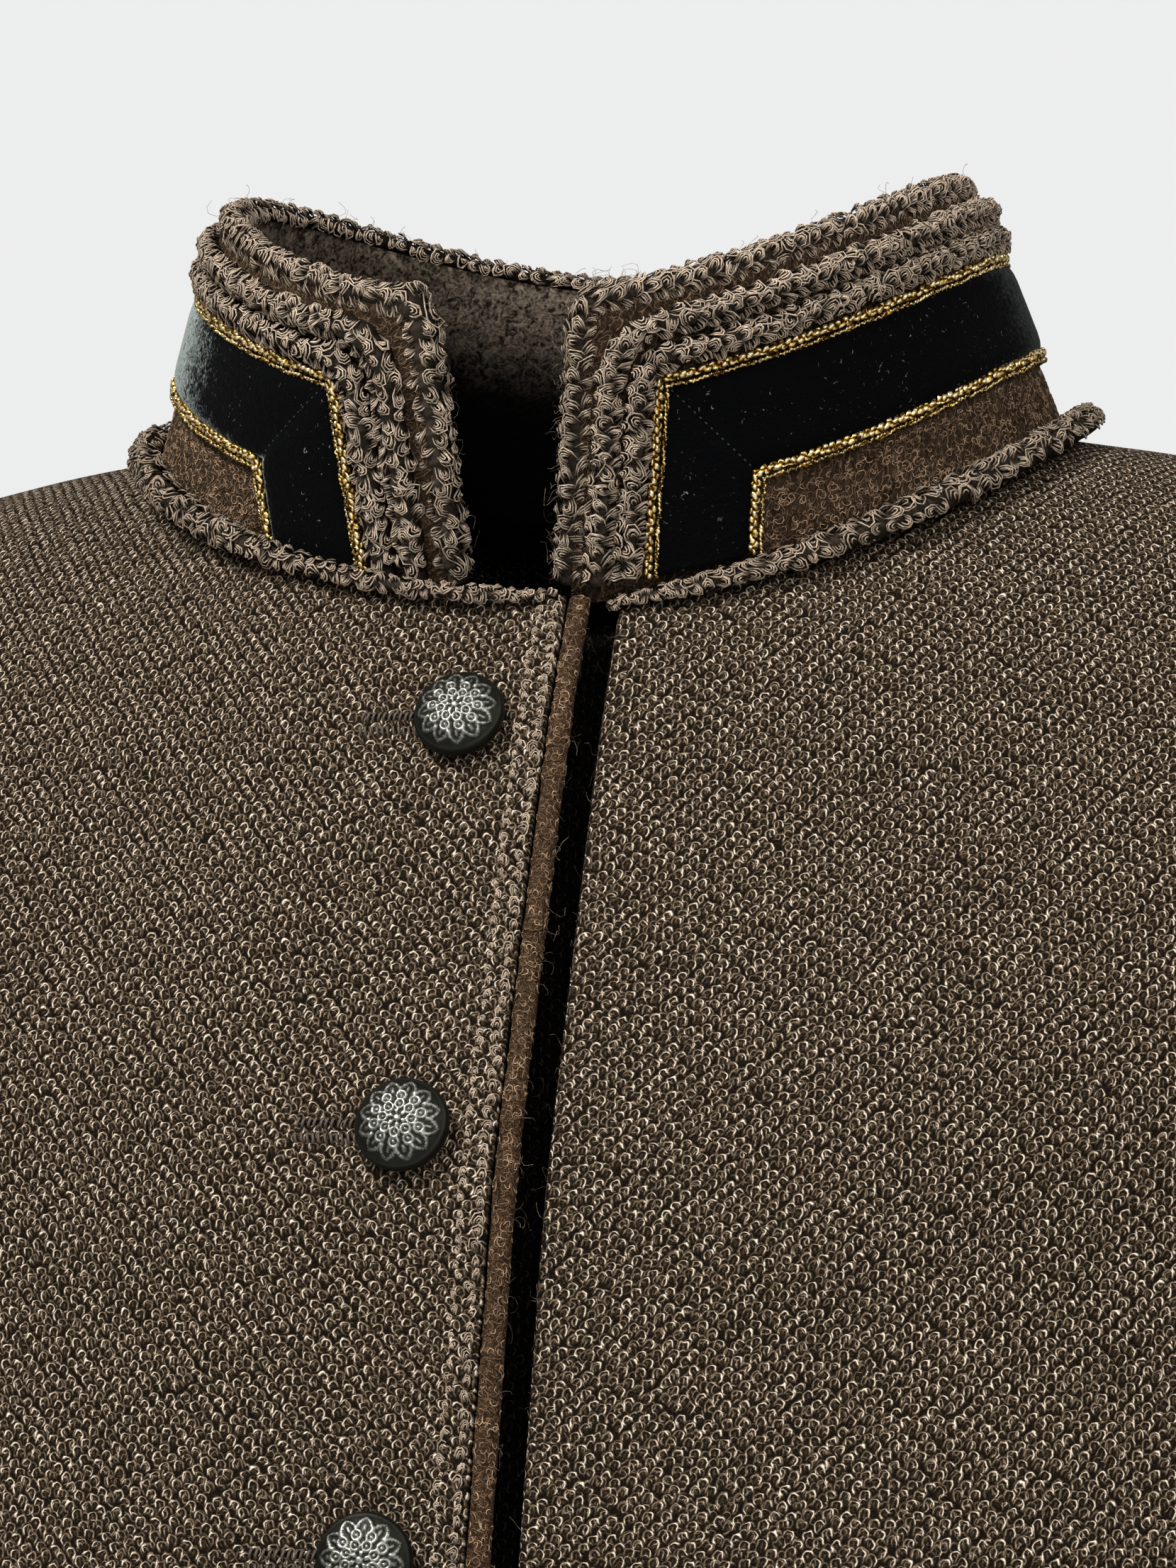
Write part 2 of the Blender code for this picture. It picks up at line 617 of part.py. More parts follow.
def make_velvet():
    """The velvet band: round the neck between the cords, and mitred down to the seam at the front."""
    gap = CORD_WIDTH / 2 + 2 * CLEAR
    high = COLLAR_HEIGHT - OUTER_CORD_INSET - gap
    low = COLLAR_HEIGHT - INNER_CORD_INSET + gap
    near, far = OUTER_CORD_INSET + gap, INNER_CORD_INSET - gap
    heights = np.array([high, (high + low) / 2, low, low / 2, TRIM_FOOT])
    steps = np.linspace(0.0, 1.0, 4)
    rows = []
    for height in heights:
        ends = []
        for side in (1, -1):
            start = from_edge(near, height, side)
            stop = from_edge(far, height, side)
            ends.append(start + (stop - start) * steps)
        rest = np.linspace(ends[0][-1], girth(height) - ends[1][-1], COLLAR_COLUMNS - 6)[1:-1]
        distance = np.concatenate([ends[0], rest, girth(height) - ends[1][::-1]])
        rows.append(angle_at(distance, np.full(distance.shape, height)))
    angle = np.array(rows)
    height = np.repeat(heights[:, None], angle.shape[1], axis=1)
    normal = stand_normal(angle, height)
    inner = stand_point(angle, height) + normal * TRIM_LIFT
    kept = np.ones((len(heights) - 1, angle.shape[1] - 1), bool)
    kept[2:, 3:-3] = False
    wall("velvet_band", inner + normal * VELVET_THICK, inner, "velvet", kept=kept)


def make_trims():
    """The three crochet rows and the two gold cords. The outermost row stands on the wall's own edge."""
    row = (ROW_WIDTH, ROW_HEIGHT)
    top = COLLAR_HEIGHT - ROW_ONE_INSET
    knots = 2 * round(trim_path(ROW_ONE_INSET, top, TRIM_FOOT, EDGE_CORNER, 9)[3] / KNOT_PITCH) + 1
    wall_middle = -(STAND_FELT + 2 * CLEAR + STAND_FACING) / 2
    edge = (ROW_WIDTH, ROW_WIDTH)
    trim_tube(
        "crochet_edge", ROW_ONE_INSET, top, EDGE_CORNER, wall_middle, edge, "crochet", knots, KNOT_WAVE
    )
    lift = ROW_HEIGHT / 2 + TRIM_LIFT
    inner_rows = (
        ("crochet_middle", ROW_TWO_INSET, ROW_TWO_CORNER),
        ("crochet_inner", ROW_THREE_INSET, ROW_THREE_CORNER),
    )
    for name, inset, corner in inner_rows:
        trim_tube(name, inset, COLLAR_HEIGHT - inset, corner, lift, row, "crochet", ROW_POINTS)
    lift = CORD_HEIGHT / 2 + TRIM_LIFT
    cord = (CORD_WIDTH, CORD_HEIGHT)
    for name, inset in (("cord_outer", OUTER_CORD_INSET), ("cord_inner", INNER_CORD_INSET)):
        trim_tube(name, inset, COLLAR_HEIGHT - inset, CORD_CORNER, lift, cord, "gold_cord", CORD_POINTS)


def make_welt():
    """The rolled welt over the neckline seam, in the corner between the stand and the cloth."""
    left_end = float(edge_angle(WELT_ENDS[0], np.array(0.0)))
    right_end = 2 * math.pi + float(edge_angle(WELT_ENDS[1], np.array(0.0)))
    angle = np.linspace(left_end, right_end, WELT_POINTS)
    turned = np.where(angle > math.pi, 2 * math.pi - angle, angle)
    radius = WELT_FRONT + (WELT_SIDE - WELT_FRONT) * smoothstep(turned, *WELT_GROWS)
    cloth_normal = body_normal(angle, WELT_RING + 0 * angle)
    stand_out = stand_normal(angle, 0 * angle)
    seam_point = body_point(angle, 0 * angle)
    lap = np.where(angle > math.pi, lap_height(seam_point[..., 0]), groove_height(seam_point[..., 0]))
    reach = (radius + 2 * CLEAR) / (1 + (cloth_normal * stand_out).sum(axis=-1))
    centre = seam_point + (cloth_normal + stand_out) * reach[:, None]
    centre = centre + cloth_normal * (np.maximum(lap, -WELT_DROP) + CLEAR)[:, None]
    along = unit(np.gradient(centre, axis=0))
    out = unit(cloth_normal - along * (cloth_normal * along).sum(axis=-1, keepdims=True))
    across = np.cross(along, out)
    tube("neck_welt", centre, across * radius[:, None], out * radius[:, None], "crochet", WELT_SIDES)


def make_piping():
    """The felt piping along the right front's edge, from the neckline to the hem."""
    ring = np.linspace(0.0, HEM, 44)
    angle = edge_angle(LAP_EDGE, ring)
    base, normal = body_point(angle, ring), body_normal(angle, ring)
    along = unit(np.gradient(base, axis=0))
    across = np.cross(normal, along)
    across = across * np.sign(across[:, :1])
    edge = folded(base, normal, lap_height(base[..., 0]) - KNIT / 2)
    centre = edge + across * (PIPING_RADIUS + CLEAR)
    tube("front_piping", centre, across * PIPING_RADIUS, normal * PIPING_RADIUS, "felt", 6)


def button_place(z):
    """The point on the right front under a button at height z, and the cloth's normal there."""
    rings = np.linspace(0.0, HEM, 1400)
    angles = edge_angle(BUTTON_X, rings)
    heights = body_point(angles, rings)[:, 2]
    ring = np.interp(-z, -heights, rings)
    angle = edge_angle(BUTTON_X, np.array(ring))
    base, normal = body_point(angle, ring), body_normal(angle, ring)
    return folded(base, normal, lap_height(base[..., 0])), normal


def make_buttons():
    profile = (
        (BUTTON_SHANK[0], -BUTTON_SHANK[1]),
        (BUTTON_SHANK[0], 0.0),
        (BUTTON_RADIUS * 0.86, 0.0),
        (BUTTON_RADIUS, BUTTON_EDGE),
        (BUTTON_RADIUS * 0.72, BUTTON_EDGE + BUTTON_DOME * 0.52),
        (BUTTON_RADIUS * 0.38, BUTTON_EDGE + BUTTON_DOME * 0.88),
    )
    sides = 12
    turn = np.arange(sides) * 2 * math.pi / sides
    for number in range(BUTTON_COUNT):
        place, normal = button_place(BUTTON_FIRST_Z - number * BUTTON_PITCH)
        right = unit(np.cross(normal, (0.0, 0.0, 1.0)))
        up = np.cross(right, normal)
        seat = place + normal * (BUTTON_SEAT + BUTTON_SHANK[1])
        points = [seat + normal * (BUTTON_EDGE + BUTTON_DOME)]
        for radius, height in profile:
            points.extend(
                seat + normal * height + radius * (math.cos(t) * right + math.sin(t) * up) for t in turn
            )
        faces = [tuple(1 + j for j in range(sides))]
        for i in range(len(profile) - 1):
            for j in range(sides):
                k = (j + 1) % sides
                low, high = 1 + i * sides, 1 + (i + 1) * sides
                faces.append((low + j, high + j, high + k, low + k))
        last = 1 + (len(profile) - 1) * sides
        faces.extend((last + j, 0, last + (j + 1) % sides) for j in range(sides))
        mesh_object(f"button_{number + 1}", np.array(points), faces, "antique_metal")


def main():
    clear_scene()
    make_fronts()
    make_back()
    make_sleeves()
    make_stand()
    make_velvet()
    make_trims()
    make_welt()
    make_piping()
    make_buttons()


main()
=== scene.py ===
"""Looks of a knitted trachten jacket with a trimmed stand collar, shown hollow on an unseen wearer.

Metres, +Z up, the front faces -Y and the wearer's left is +X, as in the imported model. Each cloth piece is
a thin shell on the form of its solid. The crochet trim, the gold cords, the neckline roll and the front
edge are real strands, and the stitches of the knit are worked out in the material from the cloth's own
measure, which counts along the courses and down the wales.
"""

from __future__ import annotations

import logging
import math
from dataclasses import dataclass
from enum import Enum
from typing import Any

import bpy
import numpy as np
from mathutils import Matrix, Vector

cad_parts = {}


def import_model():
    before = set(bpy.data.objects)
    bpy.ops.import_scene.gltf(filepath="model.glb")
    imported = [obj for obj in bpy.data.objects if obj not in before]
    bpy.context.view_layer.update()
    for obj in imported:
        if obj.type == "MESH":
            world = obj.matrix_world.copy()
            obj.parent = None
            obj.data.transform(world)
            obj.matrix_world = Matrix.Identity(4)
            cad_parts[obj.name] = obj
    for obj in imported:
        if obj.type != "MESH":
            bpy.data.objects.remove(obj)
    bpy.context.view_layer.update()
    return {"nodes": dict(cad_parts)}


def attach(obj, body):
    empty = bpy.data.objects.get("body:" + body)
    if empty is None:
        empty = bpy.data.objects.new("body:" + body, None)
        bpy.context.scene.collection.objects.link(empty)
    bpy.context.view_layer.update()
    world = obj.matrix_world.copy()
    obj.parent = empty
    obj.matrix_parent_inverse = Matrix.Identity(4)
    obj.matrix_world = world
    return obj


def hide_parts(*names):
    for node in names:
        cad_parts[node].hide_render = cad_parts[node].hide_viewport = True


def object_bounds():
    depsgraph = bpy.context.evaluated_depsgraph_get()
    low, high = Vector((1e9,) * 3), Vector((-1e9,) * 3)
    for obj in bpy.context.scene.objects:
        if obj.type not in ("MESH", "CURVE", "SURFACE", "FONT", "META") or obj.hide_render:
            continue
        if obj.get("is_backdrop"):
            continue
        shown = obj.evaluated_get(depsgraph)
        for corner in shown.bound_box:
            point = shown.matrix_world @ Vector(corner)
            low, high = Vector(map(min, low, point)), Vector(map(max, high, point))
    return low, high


Array = np.ndarray
Arrays = tuple[Array, Array]
Pair = tuple[float, float]
Triple = tuple[float, float, float]
Colour = Triple
Material = bpy.types.Material
Chance = np.random.Generator
LOG = logging.getLogger("jacket")
UV_NAME = "cloth"
# the mesh attribute that carries painted shade, and the buttons' rubbed relief
SHADE_NAME = "shade"
TURN = math.tau
# a little over a full turn, for a random way round
ANY_WAY = 6.3
# painted shade for the inner faces of every wall, where the inside of the garment lies in shadow
INNER_SHADE = 0.12
# painted shade: the dark cores under the loops stand for the shadow between them
CORE_SHADE = 0.045
# the middle lines of the two gold cords, in from the collar's outline
OUTER_CORD, INNER_CORD = 0.0160, 0.0334


class Slot(Enum):
    """The record's material slots."""

    KNIT = "knit"
    CROCHET = "crochet"
    FACING = "facing"
    FELT = "felt"
    VELVET = "velvet"
    GOLD = "gold_cord"
    METAL = "antique_metal"


# Curves and tables


def smoothstep(value: Array, low: float, high: float) -> Array:
    """A smooth rise from 0 at low to 1 at high: t * t * (3 - 2 t), with t the share of the way."""
    share = np.clip((value - low) / (high - low), 0.0, 1.0)
    return share * share * (3.0 - 2.0 * share)


def hermite(share: Array, start: Array, leave: Array, end: Array, arrive: Array) -> Array:
    """A cubic from start to end that has the slopes leave and arrive there.

    Args:
        share: how far along, from 0 to 1.
        start: the values at 0.
        leave: the slopes at 0.
        end: the values at 1.
        arrive: the slopes at 1.

    Returns:
        The cubic's values.
    """
    square, cube = share**2, share**3
    first = (2 * cube - 3 * square + 1) * start + (cube - 2 * square + share) * leave
    return first + (3 * square - 2 * cube) * end + (cube - square) * arrive


def through(rows: Array, at: Array) -> Array:
    """A Catmull-Rom curve through the rows of a table, read at positions counted in rows.

    Args:
        rows: the table, one point a row.
        at: the positions.

    Returns:
        The curve's points.
    """
    rows = np.asarray(rows, float)
    last = len(rows) - 1
    at = np.clip(np.asarray(at, float), 0.0, float(last))
    low = np.minimum(at.astype(int), last - 1)
    before, here, after, beyond = (rows[np.clip(low + step, 0, last)] for step in (-1, 0, 1, 2))
    slope_in = np.where((low == 0)[..., None], after - here, (after - before) / 2)
    slope_out = np.where((low == last - 1)[..., None], after - here, (beyond - here) / 2)
    return hermite((at - low)[..., None], here, slope_in, after, slope_out)


def unit(vectors: Array) -> Array:
    """The vectors at length 1."""
    return vectors / np.maximum(np.linalg.norm(vectors, axis=-1, keepdims=True), 1e-12)


def sideways(line: Array, normal: Array) -> Array:
    """The way across a line that lies on a surface with these normals."""
    return unit(np.cross(unit(np.gradient(line, axis=0)), normal))


def side_wave(front: Any, side: Any, back: Any, angle: Array) -> Array:
    """A value that is front, side and back at those angles of a ring, with cosines between."""
    middle = (front + back) / 2
    return (middle + side) / 2 + (front - back) / 2 * np.cos(angle) + (middle - side) / 2 * np.cos(2 * angle)


def running_length(points: Array, axis: int = 0) -> Array:
    """The length so far along one axis of a grid of points: the sum of its steps, from 0."""
    steps = np.linalg.norm(np.diff(points, axis=axis), axis=-1)
    start = np.zeros_like(np.take(steps, [0], axis=axis))
    return np.concatenate([start, np.cumsum(steps, axis=axis)], axis=axis)


def cloth_measure(points: Array) -> Array:
    """How far each point of a grid is along its row and down its column."""
    return np.stack([running_length(points, 1), running_length(points)], axis=-1)


def resampled(count: int, *columns: Array, along: Array) -> tuple[Array, ...]:
    """Columns of values read again at equal steps of the length so far, in the same order."""
    at = np.linspace(0.0, along[-1], count)
    return tuple(np.interp(at, along, column) for column in columns)


# Meshes


@dataclass
class Surface:
    """Points, four-sided faces, and a measure and a shade for the material to read."""

    points: Array
    quads: Array
    corners: Array
    shade: Array

    def joined(self, *others: Surface) -> Surface:
        """This surface and others as one.

        Args:
            others: the other surfaces.

        Returns:
            All of them, in order.
        """
        parts = (self, *others)
        starts = np.cumsum([0, *(len(p.points) for p in parts[:-1])])
        return Surface(
            np.concatenate([p.points for p in parts]),
            np.concatenate([p.quads + s for p, s in zip(parts, starts)]),
            np.concatenate([p.corners for p in parts]),
            np.concatenate([p.shade for p in parts]),
        )

    def outward(self) -> Array:
        """The faces turned so that the volume they close is above zero."""
        a, b, c, d = (self.points[self.quads[:, i]] for i in range(4))
        volume = np.einsum("ij,ij->", a, np.cross(b, c)) + np.einsum("ij,ij->", a, np.cross(c, d))
        return self.quads if volume > 0 else self.quads[:, ::-1]


def shell(
    outer: Array, inner: Array, measure: Array, joined: bool = False, shade: Array | None = None
) -> Surface:
    """A closed wall between two grids: a face on both for each cell, and a rim round the borders.

    Args:
        outer: the outer points, rows by columns.
        inner: the inner ones.
        measure: the cloth's measure at each, with one more column where joined.
        joined: whether the last column is next to the first.
        shade: how light the outer points are; the inner ones get a painted shade.

    Returns:
        The wall.
    """
    rows, columns = outer.shape[:2]
    index = np.arange(rows * columns).reshape(rows, columns)
    wide = columns + 1 if joined else columns
    place = np.arange(rows * wide).reshape(rows, wide)
    if joined:
        index = np.concatenate([index, index[:, :1]], axis=1)

    def faces(at: Array, below: int) -> Array:
        """The cells, their inner twins and the rim, as rows of four numbers."""
        cell = np.stack([at[:-1, :-1], at[1:, :-1], at[1:, 1:], at[:-1, 1:]], -1).reshape(-1, 4)
        lines = [at[0], at[-1][::-1]] + ([] if joined else [at[::-1, 0], at[:, -1]])
        rims = [np.stack([a[:-1], a[1:], a[1:] + below, a[:-1] + below], -1) for a in lines]
        return np.concatenate([cell, cell[:, ::-1] + below, *rims])

    quads = faces(index, rows * columns)
    flat = measure.reshape(-1, 2)
    corners = np.concatenate([flat, flat])[faces(place, rows * wide)]
    light = np.ones(rows * columns) if shade is None else shade.ravel()
    points = np.concatenate([outer.reshape(-1, 3), inner.reshape(-1, 3)])
    # the inner faces carry painted shade
    return Surface(points, quads, corners, np.concatenate([light, np.full(rows * columns, INNER_SHADE)]))


def tubes(
    paths: Array, outs: Array, radii: Any, shade: Any = 1.0, sides: int = 4, flat: float = 1.0
) -> Surface:
    """Closed tubes carried along many paths at once.

    At each point the ring is radius * (cos t * across + flat * sin t * up), where across stands square to
    the path and to out, and up square to both.

    Args:
        paths: points, strands by points by 3.
        outs: the way out of what the strands lie on, the same shape.
        radii: radius at each point, or one for all.
        shade: lightness at each point, or one for all.
        sides: sides of a ring, an even number.
        flat: height of the ring over its width.

    Returns:
        The tubes, whose measure runs along a strand in metres and once round it.
    """
    along = unit(np.gradient(paths, axis=1))
    across = unit(np.cross(along, outs))
    up = np.cross(across, along)
    turn = np.arange(sides) * TURN / sides + math.pi / sides
    size = np.broadcast_to(radii, paths.shape[:2])[..., None, None]
    ring = np.cos(turn)[:, None] * across[:, :, None] + flat * np.sin(turn)[:, None] * up[:, :, None]
    points = paths[:, :, None] + size * ring
    strands, count = paths.shape[:2]
    index = np.arange(strands * count * sides).reshape(strands, count, sides)
    after = np.roll(index, -1, axis=2)
    side = np.stack([index[:, :-1], after[:, :-1], after[:, 1:], index[:, 1:]], -1).reshape(-1, 4)
    length = running_length(paths, 1)
    here = np.broadcast_to(length[:, :-1, None], (strands, count - 1, sides))
    there = np.broadcast_to(length[:, 1:, None], here.shape)
    low = np.broadcast_to(np.arange(sides) / sides, here.shape)
    high = low + 1 / sides
    edges = [np.stack(pair, -1) for pair in ((here, low), (here, high), (there, high), (there, low))]
    corners = np.stack(edges, -2).reshape(-1, 4, 2)
    fans = [(0, 2 * k - 1, 2 * k, 2 * k + 1) for k in range(1, sides // 2)]
    caps = [index[:, 0][:, fan[::-1]] for fan in map(list, fans)]
    caps += [index[:, -1][:, list(fan)] for fan in fans]
    quads = np.concatenate([side, *caps])
    corners = np.concatenate([corners, np.zeros((len(quads) - len(side), 4, 2))])
    light = np.broadcast_to(np.broadcast_to(shade, paths.shape[:2])[..., None], points.shape[:3])
    return Surface(points.reshape(-1, 3), quads, corners, light.reshape(-1))


def make_piece(name: str, surface: Surface, finish: Material, slot: Slot, *replaced: str) -> Any:
    """A finished piece of the scene from its surface, riding on the one body.

    Args:
        name: the piece's name.
        surface: its points and faces.
        finish: its material.
        slot: the record's slot; not used.
        replaced: the solids that it stands for.

    Returns:
        The new object.
    """
    mesh = bpy.data.meshes.new(name)
    quads = surface.outward()
    corners = surface.corners if quads is surface.quads else surface.corners[:, ::-1]
    mesh.vertices.add(len(surface.points))
    mesh.vertices.foreach_set("co", surface.points.astype(np.float32).ravel())
    mesh.loops.add(quads.size)
    mesh.polygons.add(len(quads))
    mesh.polygons.foreach_set("loop_start", np.arange(len(quads), dtype=np.int32) * 4)
    mesh.loops.foreach_set("vertex_index", np.ascontiguousarray(quads, np.int32).ravel())
    mesh.update(calc_edges=True)
    mesh.uv_layers.new(name=UV_NAME).data.foreach_set("uv", corners.astype(np.float32).ravel())
    shade = surface.shade.astype(np.float32)
    mesh.attributes.new(SHADE_NAME, "FLOAT", "POINT").data.foreach_set("value", shade)
    mesh.validate()
    mesh.shade_smooth()
    mesh.materials.append(finish)
    piece = bpy.data.objects.new(name, mesh)
    bpy.context.scene.collection.objects.link(piece)
    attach(piece, "root")
    if replaced:
        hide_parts(*replaced)
    LOG.info("%s: %d faces", name, len(quads))
    return piece


# Shader arithmetic


class Term:
    """A socket of a node tree that takes part in arithmetic."""

    def __init__(self, graph: Graph, socket: Any) -> None:
        """Keeps the tree and the socket."""
        self.graph = graph
        self.socket = socket

    def math(self, operation: str, *others: Any, clamp: bool = False) -> Term:
        """A Math node on this value and others.

        Args:
            operation: the node's operation.
            others: numbers or terms for its further inputs.
            clamp: whether the result is held between 0 and 1.

        Returns:
            The result.
        """
        inputs = dict(enumerate((self, *others)))
        return self.graph.node("ShaderNodeMath", {"operation": operation, "use_clamp": clamp}, inputs)

    def __add__(self, other: Any) -> Term:
        """This value plus another."""
        return self.math("ADD", other)

    def __sub__(self, other: Any) -> Term:
        """This value less another."""
        return self.math("SUBTRACT", other)

    def __rsub__(self, other: Any) -> Term:
        """Another value less this one."""
        return self.graph.node("ShaderNodeMath", {"operation": "SUBTRACT"}, {0: other, 1: self})

    def __mul__(self, other: Any) -> Term:
        """This value times another."""
        return self.math("MULTIPLY", other)

    def __truediv__(self, other: Any) -> Term:
        """This value over another."""
        return self.math("DIVIDE", other)

    def __pow__(self, other: Any) -> Term:
        """This value to a power."""
        return self.math("POWER", other)

    __radd__, __rmul__ = __add__, __mul__

    def clamped(self) -> Term:
        """This value held between 0 and 1."""
        return self.math("ADD", 0.0, clamp=True)

    def between(self, low: float, high: float) -> Term:
        """A smooth rise from 0 at low to 1 at high."""
        inputs = {0: self, 1: low, 2: high, 3: 0.0, 4: 1.0}
        return self.graph.node("ShaderNodeMapRange", {"interpolation_type": "SMOOTHSTEP"}, inputs)

    def wave(self) -> Term:
        """The cosine of this value counted in turns, brought to 0 to 1."""
        return 0.5 + 0.5 * (self * TURN).math("COSINE")


class Graph:
    """A material's node tree, built from a few typed calls."""

    def __init__(self, name: str) -> None:
        """Makes the material and finds its shader."""
        self.material = bpy.data.materials.new(name)
        self.material.use_nodes = True
        self.tree = self.material.node_tree
        self.shader = self.tree.nodes["Principled BSDF"]

    def node(self, kind: str, settings: dict[str, Any], inputs: dict[Any, Any], output: Any = 0) -> Term:
        """Any node, with its settings made first and then its sockets filled.

        Args:
            kind: the node's type.
            settings: its properties by name; stops is a list of positions and colours of a ramp.
            inputs: numbers, colours or terms by the socket's place or name.
            output: the place or name of the socket to return.

        Returns:
            The chosen output.
        """
        made = self.tree.nodes.new(kind)
        for key, value in settings.items():
            if key == "stops":
                self.set_stops(made.color_ramp, value)
            else:
                setattr(made, key, value)
        for key, value in inputs.items():
            if isinstance(value, Term):
                self.tree.links.new(value.socket, made.inputs[key])
            else:
                made.inputs[key].default_value = value
        return Term(self, made.outputs[output])

    @staticmethod
    def set_stops(ramp: Any, stops: list[tuple[float, Colour]]) -> None:
        """Puts the stops on a colour ramp, in order."""
        while len(ramp.elements) < len(stops):
            ramp.elements.new(1.0)
        for element, (place, colour) in zip(ramp.elements, stops):
            element.position = place
            element.color = (*colour, 1.0)

    def measure(self) -> tuple[Term, Term, Term]:
        """The cloth's own measure: the vector, and how far along and across, in metres."""
        vector = self.node("ShaderNodeUVMap", {"uv_map": UV_NAME}, {})
        return vector, self.part(vector, "X"), self.part(vector, "Y")

    def part(self, vector: Term, axis: str) -> Term:
        """One number of a vector."""
        return self.node("ShaderNodeSeparateXYZ", {}, {0: vector}, axis)

    def combined(self, x: Any, y: Any, z: Any = 0.0) -> Term:
        """A vector of three numbers."""
        return self.node("ShaderNodeCombineXYZ", {}, {0: x, 1: y, 2: z})

    def vector(self, operation: str, *values: Any, **sockets: Any) -> Term:
        """A Vector Math node on vectors."""
        inputs = {**dict(enumerate(values)), **sockets}
        return self.node("ShaderNodeVectorMath", {"operation": operation}, inputs)

    def place(self) -> Term:
        """The object's own coordinates."""
        return self.node("ShaderNodeTexCoord", {}, {}, "Object")

    def shade(self) -> Term:
        """The lightness that the mesh carries: painted shade on most pieces, and the rubbed relief on the
        buttons.
        """
        return self.node("ShaderNodeAttribute", {"attribute_name": SHADE_NAME}, {}, "Fac")

    def noise(self, vector: Term, scale: float, detail: float = 2.0, twist: float = 0.0) -> Term:
        """Noise from 0 to 1 at a number of waves a metre."""
        inputs = {"Vector": vector, "Scale": scale, "Detail": detail, "Distortion": twist}
        return self.node("ShaderNodeTexNoise", {"noise_dimensions": "3D"}, inputs, "Fac")

    def ramp(self, factor: Term, stops: list[tuple[float, Colour]]) -> Term:
        """A colour from a number, between stops."""
        return self.node("ShaderNodeValToRGB", {"stops": stops}, {0: factor}, "Color")

    def mix(self, factor: Any, first: Any, second: Any, blend: str = "MIX") -> Term:
        """Two colours mixed by a factor."""
        values = [(*v, 1.0) if isinstance(v, tuple) else v for v in (first, second)]
        settings = {"data_type": "RGBA", "blend_type": blend}
        return self.node("ShaderNodeMix", settings, {0: factor, 6: values[0], 7: values[1]}, 2)

    def tint(self, colour: Term, value: Term) -> Term:
        """A colour times a number."""
        return self.vector("MULTIPLY", colour, self.combined(value, value, value))

    def finish(self, colour: Any, height: Term | None = None, depth: float = 0.0, **sockets: Any) -> Any:
        """Fills the shader.

        Args:
            colour: the base colour.
            height: a number from 0 to 1 that raises the surface.
            depth: how far it raises it, in metres.
            sockets: further sockets, with their spaces written as underlines.

        Returns:
            The finished material.
        """
        if height is not None:
            inputs = {"Height": height, "Distance": depth, "Strength": 1.0}
            sockets["Normal"] = self.node("ShaderNodeBump", {}, inputs)
        for key, value in {"Base_Color": colour, **sockets}.items():
            socket = self.shader.inputs[key.replace("_", " ")]
            if isinstance(value, Term):
                self.tree.links.new(value.socket, socket)
            else:
                socket.default_value = (*value, 1.0) if isinstance(value, tuple) else value
        return self.material


# Finishes


@dataclass(frozen=True)
class CurlPattern:
    """Upright arches of yarn, one to each cell of a jittered lattice.

    Sizes count in cells. The height is a wave of the distance from the arch's middle above it and of the
    distance from its middle line below, so that the legs run straight, and it fades out at their feet.
    """

    jitter: float = 0.30
    lean: float = 0.0
    spin: float = 0.70
    radius: float = 0.375
    spacing: float = 0.370
    squash: float = 1.20
    open_from: float = 0.02
    open_to: float = 0.40

    def height(self, graph: Graph, vector: Term, shift: float = 0.0) -> tuple[Term, Term]:
        """The pattern's height and a random number for each bundle.

        Args:
            graph: the tree.
            vector: the place, counted in cells.
            shift: moves the lattice, for a second layer.

        Returns:
            The height from 0 to 1, and the number from 0 to 1.
        """
        moved = graph.vector("ADD", vector, (shift, shift * 0.61, 0.0))
        inputs = {"Vector": moved, "Scale": 1.0, "Randomness": self.jitter}
        chance = graph.node("ShaderNodeTexVoronoi", {"voronoi_dimensions": "2D"}, inputs, "Color")
        middle = Term(graph, chance.socket.node.outputs["Position"])
        local = graph.vector("SUBTRACT", moved, middle)
        first, second = graph.part(chance, "X"), graph.part(chance, "Y")
        inputs = {"Vector": local, "Angle": (first - 0.5) * self.spin * 2 + self.lean}
        turned = graph.node("ShaderNodeVectorRotate", {"rotation_type": "Z_AXIS"}, inputs)
        across, down = graph.part(turned, "X"), graph.part(turned, "Y")
        stretched = (down * (self.squash + 0.3 * (second - 0.5)) + 0.10).math("MINIMUM", 0.0)
        away = (across * across + stretched * stretched) ** 0.5
        radius, spacing = self.radius, self.spacing
        wave = 0.5 + 0.5 * ((away - radius) * (TURN / spacing)).math("COSINE")
        edge = 1.0 - away.between(radius + spacing * 0.30, radius + spacing * 0.55)
        inner = 0.22 + 0.78 * away.between(radius - spacing * 0.75, radius - spacing * 0.25)
        closed = 1.0 - down.between(self.open_from, self.open_to)
        return wave ** 1.4 * edge * inner * closed, second


